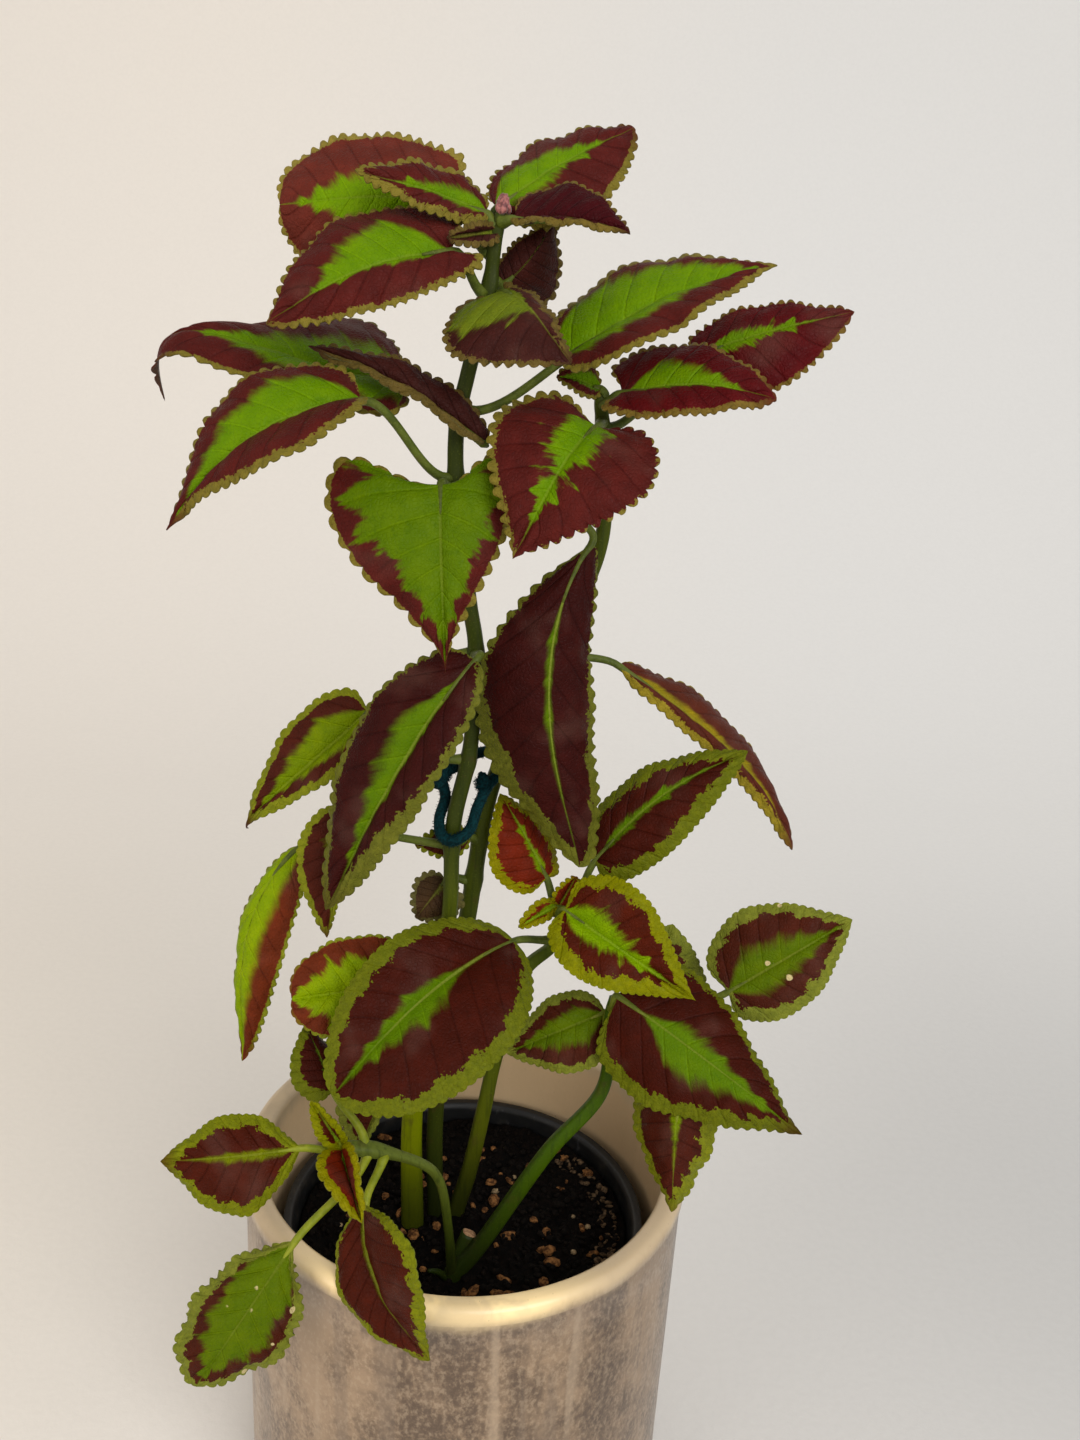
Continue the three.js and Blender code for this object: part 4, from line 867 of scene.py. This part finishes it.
def pebble(rng, centre, size, rows, sides):
    """An irregular lump with half sizes in x, y and z, turned at random."""
    points = []
    for i in range(1, rows):
        tilt = math.pi * i / rows
        for k in range(sides):
            turn = 2 * math.pi * k / sides
            wobble = rng.uniform(*WOBBLE)
            points.append((*around(math.sin(tilt) * wobble, turn), -math.cos(tilt) * wobble))
    points += [(0, 0, -1), (0, 0, 1)]
    spin = Matrix.Rotation(rng.uniform(0, 6.3), 3, "Z")
    turned = spin @ Matrix.Rotation(rng.uniform(-PEBBLE_TILT, PEBBLE_TILT), 3, "X")
    placed = [tuple(turned @ Vector((x * size[0], y * size[1], z * size[2])) + Vector(centre))
        for x, y, z in points]
    return placed, ring_faces(rows - 1, sides)


# ---- blades ----

TOOTH_LIMIT = 1.6
TOOTH_FULLNESS = 3
ROWS_A_TOOTH = 6
MARGIN_SAMPLES = 1201
BLADE_PUFF = 0.05
HALF_THICKNESS = 0.2
BOW_STEEPNESS = 2.1
LOBE_LENGTH = 0.07
NEAR_MIDDLE = (0.12, 0.8)
TOOTH_FADE = 0.16
TOOTH_ROOT = 0.84
FULL_RELIEF_LENGTH = 40
# how deep, and how wide: the groove over the midrib, and the ribs below
GROOVE = (0.5, 0.9)
RIB = (0.75, 0.8)
SIDE_RIB = (0.32, 0.14)
WAVES = 3.1
WAVE_HEIGHT = 1.1
SHARES = np.array((0.035, 0.08, 0.14, 0.21, 0.28, 0.36, 0.44, 0.52, 0.6, 0.68, 0.76, 0.83, 0.89,
    0.94, 0.975, 1))
SHARES = np.concatenate([-SHARES[::-1], [0], SHARES])


def bow(t, crest):
    a, b = BOW_STEEPNESS * crest, BOW_STEEPNESS * (1 - crest)
    return t**a * (1 - t) ** b / (crest**a * (1 - crest) ** b)


def lobe(t):
    return t / LOBE_LENGTH * np.exp(1 - t / LOBE_LENGTH)


class Blade:
    """One leaf's own directions, and how far each margin reaches from the midrib."""

    def __init__(self, shape):
        self.shape = shape
        self.base = np.array(shape.base, float)
        self.chord = np.array(shape.tip, float) - self.base
        left, right = np.array(shape.left, float), np.array(shape.right, float)
        self.face = unit(np.cross(right - left, self.chord))
        self.side = np.cross(unit(self.chord), self.face)
        self.fine = (1 - np.cos(np.pi * np.linspace(0, 1, MARGIN_SAMPLES))) / 2
        self.reaches = {}
        self.walked = {}
        self.spacing = {}
        for side, corner in ((-1, left), (1, right)):
            self.reaches[side] = self.reach(corner, side)
            steps = np.linalg.norm(np.diff(self.margin(self.fine, side), axis=0), axis=1)
            walked = np.concatenate([[0], np.cumsum(steps)])
            self.walked[side] = walked / walked[-1]
            self.spacing[side] = walked[-1] / shape.teeth

    def midrib(self, t):
        t = np.asarray(t, float)[..., None]
        bowed = bow(t, self.shape.crest)
        return (self.base + self.chord * t + self.face * (self.shape.rise * bowed)
            + self.side * (self.shape.sway * bowed))

    def width(self, t, side):
        """How far out a margin is, as a share of its reach."""
        power, widest = self.shape.rounds[side > 0], self.shape.widest
        return (t / widest) ** power * ((1 - t) / (1 - widest)) ** (power * (1 - widest) / widest)

    def reach(self, corner, side):
        heart = self.shape.heart
        along = (corner - self.base).dot(self.chord) / self.chord.dot(self.chord)
        t = along
        for _ in range(8):
            t = np.clip(along + heart * lobe(t), *NEAR_MIDDLE)
        offset = corner - self.midrib(t) + self.chord * heart * lobe(t)
        return offset / self.width(t, side)

    def margin(self, t, side):
        return (self.midrib(t) + self.reaches[side] * self.width(t, side)[:, None]
            - self.chord * (self.shape.heart * lobe(t))[:, None])

    def outward(self, t, side):
        """The way out of the blade, square to one margin."""
        out = np.cross(np.gradient(self.margin(t, side), axis=0), self.face) * side
        return out / (np.linalg.norm(out, axis=1, keepdims=True) + 1e-12)

    def rows(self, count):
        """Places along the blade that step evenly along its two margins."""
        return np.interp(np.arange(1, count) / count, (self.walked[-1] + self.walked[1]) / 2, self.fine)

    def sheet(self, t, look):
        """The blade's middle sheet as a grid, its normals, and each point's place on the blade."""
        points = np.zeros((len(t), len(SHARES), 3))
        edge = np.zeros((len(t), len(SHARES)))
        from_rib = np.zeros_like(edge)
        for j, signed in enumerate(SHARES):
            side = 1 if signed >= 0 else -1
            share = abs(signed)
            width = self.width(t, side)
            far = width * np.linalg.norm(self.reaches[side])
            walked = np.interp(t, self.fine, self.walked[side])
            scallop = (walked * self.shape.teeth + 0.5 * (side > 0)) % 1
            scallop = 1 - np.abs(2 * scallop - 1) ** TOOTH_FULLNESS
            tall = min(look.tooth * self.spacing[side], TOOTH_LIMIT)
            grown = np.minimum(1, 4 * width) * soft_step(walked, 0, TOOTH_FADE)
            tooth = tall * scallop * grown * soft_step(share, TOOTH_ROOT, 1)
            puff = BLADE_PUFF * far * 4 * share * (1 - share)
            points[:, j] = (self.midrib(t) + self.reaches[side] * (share * width)[:, None]
                + self.outward(t, side) * tooth[:, None]
                - self.chord * (self.shape.heart * lobe(t) * share**1.5)[:, None]
                + self.face * puff[:, None])
            edge[:, j] = (1 - share) * far - tooth
            from_rib[:, j] = share * far
        normals = np.cross(np.gradient(points, axis=1), np.gradient(points, axis=0))
        normals /= np.linalg.norm(normals, axis=2, keepdims=True) + 1e-12
        return points, normals, edge, from_rib


def relief(blade, t, points, from_rib, look, seed):
    """How far the blade stands up from its middle sheet, and how far its ribs hang below."""
    along, signed = np.meshgrid(t, SHARES, indexing="ij")
    share = np.abs(signed)
    size = np.linalg.norm(blade.chord)
    grown = min(1, size / FULL_RELIEF_LENGTH)
    veins = (along - VEIN_SLANT * share) * look.veins
    to_vein = np.abs((veins + 0.5) % 1 - 0.5)
    amount = look.quilt * grown
    quilt = amount * (2 * to_vein) ** 0.6 * soft_step(share, 0, 0.3) * soft_step(share, 1.02, 0.72)
    groove = -GROOVE[0] * bell(from_rib, GROOVE[1])
    rough = np.zeros_like(along)
    for place in np.ndindex(rough.shape):
        at = Vector(points[place]) + Vector((seed * 17.0, 0, 0))
        rough[place] = 0.55 * noise.noise(at * 0.14) + 0.3 * amount * noise.noise(at * 0.5)
    phase = WAVES * along + 0.31 * seed + 0.17 * np.sign(signed)
    wave = look.wave * np.sin(2 * np.pi * phase) * share**2.5 * grown * WAVE_HEIGHT
    curl = -look.curl * size * 0.5 * share**4
    ends = soft_step(along, 0, 0.1) * soft_step(along, 1, 0.86)
    up = (quilt + groove + rough + wave + curl) * ends
    thin = (1 - along) ** 0.8
    down = RIB[0] * thin * bell(from_rib, RIB[1])
    down += SIDE_RIB[0] * soft_step(to_vein, SIDE_RIB[1], 0) * soft_step(share, 0.95, 0.5) * thin
    return up, down


def blade_mesh(mesh, blade, look, seed):
    """Adds one blade, and gives what its material reads at each point, and its rim."""
    t = blade.rows(ROWS_A_TOOTH * blade.shape.teeth)
    points, normals, edge, from_rib = blade.sheet(t, look)
    up, down = relief(blade, t, points, from_rib, look, seed)
    upper = points + normals * (up + HALF_THICKNESS)[..., None]
    lower = points + normals * (up - HALF_THICKNESS - down)[..., None]
    ends = np.array([blade.midrib(0), blade.midrib(1)])
    thick = blade.face * HALF_THICKNESS
    index = np.arange(edge.size).reshape(edge.shape)
    base, tip, sheet = edge.size, edge.size + 1, edge.size + 2
    corners = [index[:-1, :-1], index[:-1, 1:], index[1:, 1:], index[1:, :-1]]
    faces = np.stack(corners, -1).reshape(-1, 4).tolist()
    faces += [(base, other, one) for one, other in zip(index[0], index[0, 1:])]
    faces += [(one, other, tip) for one, other in zip(index[-1], index[-1, 1:])]
    beneath = [tuple(i + sheet for i in face)[::-1] for face in faces]
    rim = [base, *index[:, -1], tip, *index[::-1, 0]]
    walls = [(other, one, one + sheet, other + sheet) for one, other in zip(rim, rim[1:] + rim[:1])]
    both = [upper.reshape(-1, 3), ends + thick, lower.reshape(-1, 3), ends - thick]
    mesh.put(np.concatenate(both), faces + beneath + walls)
    leaf = np.stack([np.repeat(t, len(SHARES)), np.tile(SHARES, len(t)), edge.ravel()], 1)
    leaf = np.concatenate([leaf, [(0, 0, 0), (1, 0, -1)]])
    ribs = np.tile(np.append(from_rib, [0, 0]), 2)
    under = np.repeat([0, 1], sheet)
    return {
        "leaf": np.tile(leaf, (2, 1)),
        "blade": np.stack([ribs, under, np.zeros_like(ribs)], 1),
        "rim": rim + [i + sheet for i in rim],
        "sheet": sheet,
    }


def write_attributes(piece, facts):
    """Gives the material its place on the blade, and keeps the thin rim crisp."""
    mesh = piece.data
    for name in ("leaf", "blade"):
        values = np.zeros((len(mesh.vertices), 3), np.float32)
        values[:len(facts[name])] = facts[name]
        mesh.attributes.new(name, "FLOAT_VECTOR", "POINT").data.foreach_set("vector", values.ravel())
    ends = np.zeros(len(mesh.edges) * 2, np.int32)
    mesh.edges.foreach_get("vertices", ends)
    one, other = ends.reshape(-1, 2).T
    on_rim = np.zeros(len(mesh.vertices), bool)
    on_rim[facts["rim"]] = True
    same_sheet = (one < facts["sheet"]) == (other < facts["sheet"])
    sharp = on_rim[one] & on_rim[other] & same_sheet
    mesh.attributes.new("sharp_edge", "BOOLEAN", "EDGE").data.foreach_set("value", sharp)


# ---- leaf stalks ----

STALK_RADIUS = 1.15
STALK_SIDES = 12
STALK_ROOT = 0.6
STALK_BEND = 0.3
STALK_END = 0.16
STALK_DEPTH = 0.5
STALK_STEP = 1.6
STALK_FLARE = 0.55
STALK_FLARE_LENGTH = 1.8
STALK_TAPER = 0.12
STEM_SAMPLES = 400


def stem_at(name, height):
    """Where a stem passes a height, its radius there and the way it runs."""
    made = spline(STEMS[name], STEM_SAMPLES)
    near = int(np.argmin(np.abs(made[:, 2] - height)))
    near = min(max(near, 1), len(made) - 2)
    return made[near, :3], made[near, 3], unit(made[near + 1, :3] - made[near - 1, :3])


def stalk_mesh(mesh, shape, blade):
    """The stalk from inside the stem to the blade, flared at its root, and on under the midrib."""
    point, radius, along = stem_at(shape.stem, shape.node)
    base = blade.midrib(0)
    out = base - point
    out = unit(out - along * out.dot(along))
    root = point + out * STALK_ROOT * radius
    length = np.linalg.norm(base - root)
    into = unit(blade.midrib(STALK_END / 2) - base)
    leave, arrive = root + out * STALK_BEND * length, base - into * STALK_BEND * length
    end = base - blade.face * STALK_DEPTH
    t = np.linspace(0, 1, max(8, round(length / STALK_STEP)))[:, None]
    points = (1 - t) ** 3 * root + 3 * t * (1 - t) ** 2 * leave + 3 * t**2 * (1 - t) * arrive + t**3 * end
    t = t[:, 0]
    flare = STALK_FLARE * np.exp(-t * length / STALK_FLARE_LENGTH)
    radii = STALK_RADIUS * (1 + flare - STALK_TAPER * t)
    run = np.linspace(0, STALK_END, 6)[1:]
    under = blade.midrib(run) - blade.face * (STALK_DEPTH + 0.05)
    points = np.concatenate([points, under])
    radii = np.concatenate([radii, radii[-1] * np.linspace(0.9, 0.35, len(run))])
    mesh.put(*tube(points, radii, STALK_SIDES), 1)


DARK_LEAVES = ("heart_small", "behind_heart", "far_right", "red_right", "heart_dark_front",
    "edge_on", "dark_hanging", "left_dark_big", "lower_front_big", "low_back_left", "low_right_big")


def leaf_piece(name, shape, materials, seed):
    mesh = Mesh()
    blade = Blade(shape)
    facts = blade_mesh(mesh, blade, LOOKS[name], seed)
    if shape.node:
        stalk_mesh(mesh, shape, blade)
    slot_name = "leaf_dark" if name in DARK_LEAVES else "leaf_green"
    node = "leaf_" + name if shape.node else "stem_" + shape.stem
    write_attributes(mesh.build(name + "_blade", materials, slot_name, node), facts)


def make_leaves():
    group = leaf_group()
    stalk = stalk_material()
    for seed, (name, shape) in enumerate(LEAVES.items()):
        leaf_piece(name, shape, [leaf_material(name, LOOKS[name], group), stalk], seed)


# ---- stems ----

STEM_SIDES = 24
STEM_STEP = 1.4
STEM_CORNER = 3.2
NODE_SWELL = 0.16
NODE_LENGTH = 2.2
STEM_COLOURS = {
    "tall": ("#6e7800", "#30380a", 130, 240),
    # the mate stem's colour at the foot is darkened as painted shade cast by the tall stem
    "mate": ("#30380a", "#3c4408", 130, 240),
    "middle": ("#4c5208", "#4c5a12", 120, 190),
    "front": ("#324600", "#364e00", 95, 150),
    "side": ("#3e4a0c", "#566022", 105, 150),
}


def squarish(turns):
    """The rounded square section of a coleus stem, with its corners turned by an eighth."""
    corner = STEM_CORNER
    return 0.93 / (np.abs(np.cos(turns)) ** corner + np.abs(np.sin(turns)) ** corner) ** (1 / corner)


def stem_tube(mesh, name, material):
    points = STEMS[name]
    coarse = spline(points, 60)[:, :3]
    length = np.linalg.norm(np.diff(coarse, axis=0), axis=1).sum()
    made = spline(points, round(length / STEM_STEP))
    radii = made[:, 3].copy()
    for node in sorted({leaf.node for leaf in LEAVES.values() if leaf.stem == name and leaf.node}):
        radii *= 1 + NODE_SWELL * bell(made[:, 2] - node, NODE_LENGTH)
    mesh.put(*tube(made[:, :3], radii, STEM_SIDES, squarish), material)


def make_stems():
    skins = {name: stem_material(name, *colours) for name, colours in STEM_COLOURS.items()}
    for name in ("tall", "mate", "middle"):
        mesh = Mesh()
        stem_tube(mesh, name, 0)
        mesh.build(name + "_stem", [skins[name]], "stem", "stem_" + name)
    mesh = Mesh()
    stem_tube(mesh, "front", 0)
    stem_tube(mesh, "side", 1)
    stub = spline(CUT_STUB, 12)
    mesh.put(*tube(stub[:, :3], stub[:, 3], STEM_SIDES, squarish))
    sprout = spline(SOIL_SPROUT, 10)
    mesh.put(*tube(sprout[:, :3], sprout[:, 3], 12))
    # a slightly raised, dried disc closes the cut end
    end, radius = stub[-1, :3], stub[-1, 3]
    along = unit(end - stub[-2, :3])
    disc = [end - along * 0.4, end + along * 0.25, end + along * 0.4]
    mesh.put(*tube(disc, [radius * 0.9, radius * 0.86, radius * 0.55], STEM_SIDES, squarish), 2)
    mesh.build("front_stem", [skins["front"], skins["side"], cut_material()], "stem", "stem_front")


# each ring of bracts: how many, how far out, how high, and their size
BUD_RINGS = ((5, 1.15, -0.9, 1.2), (5, 0.8, 0.3, 1.15), (4, 0.4, 1.2, 1))


def make_bud():
    """The flower bud at the tallest tip: small overlapping bracts round an upright heart."""
    rng = random.Random(41)
    mesh = Mesh()
    centre = Vector(PINK_BUD)
    for ring, (count, lean, height, size) in enumerate(BUD_RINGS):
        for k in range(count):
            turn = 2 * math.pi * (k + 0.5 * ring) / count + rng.uniform(-0.15, 0.15)
            at = centre + Vector((*around(lean, turn), height))
            mesh.put(*pebble(rng, at, (0.75 * size, 0.65 * size, 1.2 * size), 7, 10))
    mesh.put(*pebble(rng, centre, (1.1, 1.1, 2.3), 8, 12))
    mesh.build("pink_bud", [bud_material()], "stem", "stem_tall")


# ---- the tie ----

TIE_RADIUS = 1.9
TIE_FIBRES = 2000
TIE_LUMPS = (((-10.8, 2.4, 244), (2.6, 2, 4.2)), ((0.4, 1.6, 242.5), (2.2, 1.6, 3.4)))
LUMP_FIBRES = 250
LUMP_DEPTH = 2.2
FIBRE_RADII = (0.09, 0.08, 0.04)


def make_tie():
    """A chenille strip: a soft core with short fibres standing out of it all round."""
    rng = random.Random(23)
    mesh = Mesh()
    loop = spline(TIE_LOOP, 150, closed=True)
    mesh.put(*tube(loop, [TIE_RADIUS * 0.8] * len(loop), 10, closed=True))
    for at, size in TIE_LUMPS:
        mesh.put(*pebble(rng, at, size, 9, 12))
    starts = [(loop[rng.randrange(len(loop))], TIE_RADIUS * 0.7) for _ in range(TIE_FIBRES)]
    for at, _ in TIE_LUMPS:
        starts += [(np.array(at), LUMP_DEPTH)] * LUMP_FIBRES
    for start, deep in starts:
        way = unit(np.array([rng.gauss(0, 1) for _ in range(3)]))
        bend = unit(way + 0.6 * np.array([rng.gauss(0, 1) for _ in range(3)]))
        at = start + way * deep * 0.9
        middle = at + way * rng.uniform(0.3, 0.6)
        end = middle + bend * rng.uniform(0.3, 0.7)
        mesh.put(*tube([at, middle, end], FIBRE_RADII, 3))
    mesh.build("tie_fuzz", [tie_material()], "tie", "plant_tie")


# ---- pots and peat ----

POT_SIDES = 176
WALL_STEPS = 8
INNER_STEPS = 6
LIP_STEPS = 9
GLAZE_SWELL = 0.14
GLAZE_SWELL_SCALE = 0.06
SWELL_FROM = 20


def make_outer_pot():
    body_top = POT_HEIGHT - LIP_BAND_HEIGHT
    inner = POT_RADIUS - POT_WALL
    lip = POT_HEIGHT
    # the outside: foot, nearly straight wall, raised lip band
    outside = [(0, 0), (POT_BASE_RADIUS - POT_CHAMFER, 0), (POT_BASE_RADIUS, POT_CHAMFER)]
    outside += [(POT_BASE_RADIUS + (1 - LIP_PROUD) * i / WALL_STEPS, body_top * i / WALL_STEPS)
        for i in range(1, WALL_STEPS)]
    outside += [(POT_RADIUS - LIP_PROUD, body_top - LIP_LEAD), (POT_RADIUS, body_top)]
    quarter = [math.pi / 2 * i / LIP_STEPS for i in range(LIP_STEPS + 1)]
    round_lip = [(POT_RADIUS - LIP_ROUND * (1 - math.cos(a)), lip - LIP_ROUND * (1 - math.sin(a)))
        for a in quarter]
    inside = [(inner + 1.4, lip - 0.15), (inner + 0.4, lip - 1), (inner, lip - LIP_ROUND)]
    deep = lip - LIP_ROUND - POT_FLOOR - 5
    inside += [(inner - POT_INNER_TAPER * i / INNER_STEPS, lip - LIP_ROUND - deep * i / INNER_STEPS)
        for i in range(1, INNER_STEPS + 1)]
    inside += [(inner - 3.4, POT_FLOOR + 1.4), (inner - POT_FLOOR_ROUND, POT_FLOOR), (0, POT_FLOOR)]
    points, faces = lathe(outside + round_lip + inside, POT_SIDES)
    # the glaze is slightly uneven to the touch
    shifted = []
    for x, y, z in points:
        away = math.hypot(x, y)
        swell = GLAZE_SWELL * noise.noise(Vector((x, y, z * 0.5)) * GLAZE_SWELL_SCALE)
        share = 1 + (swell / away if away > SWELL_FROM else 0)
        shifted.append((x * share, y * share, z))
    Mesh().put(shifted, faces).build("glazed_pot", [glaze_material()], "pot_glaze", "outer_pot")


def make_nursery_pot():
    foot = NURSERY_FOOT
    under = NURSERY_TOP - NURSERY_RIM_HEIGHT
    body = NURSERY_RADIUS - NURSERY_RIM_PROUD
    inner = body - NURSERY_WALL
    profile = [(0, foot), (NURSERY_FOOT_RADIUS, foot), (body - NURSERY_CORNER, under),
        (NURSERY_RADIUS, under + 0.8), (NURSERY_RADIUS, NURSERY_TOP), (inner + 0.9, NURSERY_TOP),
        (inner, NURSERY_TOP - 1.5), (NURSERY_FOOT_RADIUS - NURSERY_WALL, foot + 2), (0, foot + 2)]
    points, faces = lathe(rounded(profile, NURSERY_CORNER), NURSERY_SIDES)
    Mesh().put(points, faces).build("grower_pot", [nursery_material()], "nursery_plastic", "nursery_pot")


def soil_height(x, y):
    wave = SOIL_LUMP * (0.5 * math.sin(0.31 * x + 1.3) * math.cos(0.27 * y - 0.4)
        + 0.3 * math.sin(0.63 * x - 0.55 * y) + 0.2 * math.sin(1.1 * y + 0.7 * x + 2))
    at = Vector((x, y, 0))
    crumb = 0.9 * noise.noise(at * 0.35) + 0.6 * noise.noise(at * 0.9) + 0.35 * noise.noise(at * 2.1)
    near = min(math.hypot(x - points[1][0], y - points[1][1]) for points in STEMS.values())
    return SOIL_TOP + wave + crumb + SOIL_MOUND * bell(near, SOIL_MOUND_REACH)


def make_soil():
    low = NURSERY_FOOT_RADIUS - NURSERY_WALL - SOIL_GAP
    sunk = [(low, SOIL_FOOT), ((low + SOIL_RADIUS) / 2, (SOIL_FOOT + SOIL_TOP) / 2),
        (SOIL_RADIUS, SOIL_TOP - 1)]
    turns = circle(SOIL_SIDES)
    points = [(*around(radius, turn), z) for radius, z in sunk for turn in turns]
    for i in range(SOIL_RINGS - 1, 0, -1):
        ring = [around(SOIL_RADIUS * i / SOIL_RINGS, turn) for turn in turns]
        points += [(x, y, soil_height(x, y)) for x, y in ring]
    points += [(0, 0, SOIL_FOOT), (0, 0, soil_height(0, 0))]
    faces = ring_faces(len(sunk) + SOIL_RINGS - 1, SOIL_SIDES)
    Mesh().put(points, faces).build("peat_top", [peat_material()], "peat", "soil")


RIM_GAP = 2.5
BIT_STANDS_OUT = 0.35


def scatter(name, seed, count, sizes, material, inner=0, turns=(0, 2 * math.pi)):
    """Loose bits on the peat, joined into one piece; sizes are the ranges of the half sizes,
    inner is where they start, as a share of the peat's radius, and turns is their arc."""
    rng = random.Random(seed)
    mesh = Mesh()
    for _ in range(count):
        away = (SOIL_RADIUS - RIM_GAP) * math.sqrt(rng.uniform(inner**2, 1))
        x, y = around(away, rng.uniform(*turns))
        grow = rng.uniform(0.6, 1.3)
        size = [rng.uniform(*limits) * grow for limits in sizes]
        at = (x, y, soil_height(x, y) + size[2] * BIT_STANDS_OUT)
        mesh.put(*pebble(rng, at, size, 5, 7))
    mesh.build(name, [material], "peat", "soil")


def make_loose_bits():
    crumb = chip_material("peat_crumb", "#050302", "#130d08")
    bark = chip_material("bark_chip", "#3e2514", "#8e6238")
    perlite = chip_material("perlite", "#6e5c44", "#a68e6c")
    crust = chip_material("dry_crust", "#2a1e14", "#6a5640")
    scatter("peat_crumbs", 5, 1300, ((0.5, 1.3), (0.5, 1.2), (0.4, 0.9)), crumb)
    scatter("bark_chips", 6, 90, ((1.1, 3), (0.8, 1.9), (0.6, 1.2)), bark)
    scatter("perlite_bits", 7, 12, ((0.7, 1.5), (0.6, 1.2), (0.5, 1)), perlite)
    scatter("dry_crust_bits", 8, 120, ((0.4, 1.4), (0.4, 1.1), (0.3, 0.7)), crust, 0.88, (-0.5, 0.8))


# ---- room, lights and camera ----

ROOM_HALF = 2.6
WALL_AT = 1.15
SWEEP = 0.6
SWEEP_STEPS = 12


def make_room():
    """A pale floor that sweeps up into a wall, too far back to meet a camera behind the plant."""
    rows = [(-ROOM_HALF, 0), (WALL_AT - SWEEP, 0)]
    for i in range(1, SWEEP_STEPS + 1):
        turn = math.pi / 2 * i / SWEEP_STEPS
        rows.append((WALL_AT - SWEEP + SWEEP * math.sin(turn), SWEEP * (1 - math.cos(turn))))
    rows.append((WALL_AT, ROOM_HALF))
    points = [(x, y, z) for y, z in rows for x in (-ROOM_HALF, ROOM_HALF)]
    faces = [(2 * i, 2 * i + 1, 2 * i + 3, 2 * i + 2) for i in range(len(rows) - 1)]
    mesh = bpy.data.meshes.new("room")
    mesh.from_pydata(points, [], faces)
    mesh.polygons.foreach_set("use_smooth", [True] * len(faces))
    mesh.materials.append(room_material())
    add_object("room", mesh)


def add_area(name, at, aim, size, power, code):
    light = bpy.data.lights.new(name, "AREA")
    light.shape = "RECTANGLE"
    light.size, light.size_y = size
    light.energy = power
    light.color = srgb(code)[:3]
    lamp = add_object(name, light)
    lamp.location = at
    lamp.rotation_euler = (Vector(aim) - Vector(at)).to_track_quat("-Z", "Y").to_euler()


def make_lights():
    world = bpy.data.worlds.new("soft_room")
    world.use_nodes = True
    sky = world.node_tree.nodes["Background"]
    sky.inputs["Color"].default_value = srgb("#f7f5f2")
    sky.inputs["Strength"].default_value = 0.75
    bpy.context.scene.world = world
    middle = (0, 0, 0.22)
    add_area("window", (0.55, -1.15, 1.0), middle, (0.9, 0.9), 15, "#ffffff")
    add_area("fill", (-1, -0.8, 0.5), middle, (0.9, 0.9), 4.5, "#fff4ea")
    bpy.context.scene.view_settings.view_transform = "Standard"


# in metres and degrees
CAMERA_AT = (0, -0.324, 0.382)
CAMERA_PITCH = 20.3
CAMERA_YAW = 2.6
CAMERA_ROLL = 3.3
CAMERA_LENS = 32.5
SENSOR_WIDTH = 36
CLIP_START = 0.02


def make_camera():
    pitch, yaw, roll = (math.radians(a) for a in (CAMERA_PITCH, CAMERA_YAW, CAMERA_ROLL))
    ahead = Vector((math.sin(yaw) * math.cos(pitch), math.cos(yaw) * math.cos(pitch), -math.sin(pitch)))
    level = Vector((math.cos(yaw), -math.sin(yaw), 0))
    upright = level.cross(ahead)
    right = math.cos(roll) * level + math.sin(roll) * upright
    up = -math.sin(roll) * level + math.cos(roll) * upright
    data = bpy.data.cameras.new("camera")
    data.lens = CAMERA_LENS
    data.sensor_width = SENSOR_WIDTH
    data.clip_start = CLIP_START
    camera = add_object("camera", data)
    turned = Matrix((right, up, -ahead)).transposed()
    camera.matrix_world = Matrix.Translation(CAMERA_AT) @ turned.to_4x4()
    bpy.context.scene.camera = camera


make_camera()
make_outer_pot()
make_nursery_pot()
make_soil()
make_loose_bits()
make_stems()
make_bud()
make_tie()
make_leaves()
make_room()
make_lights()
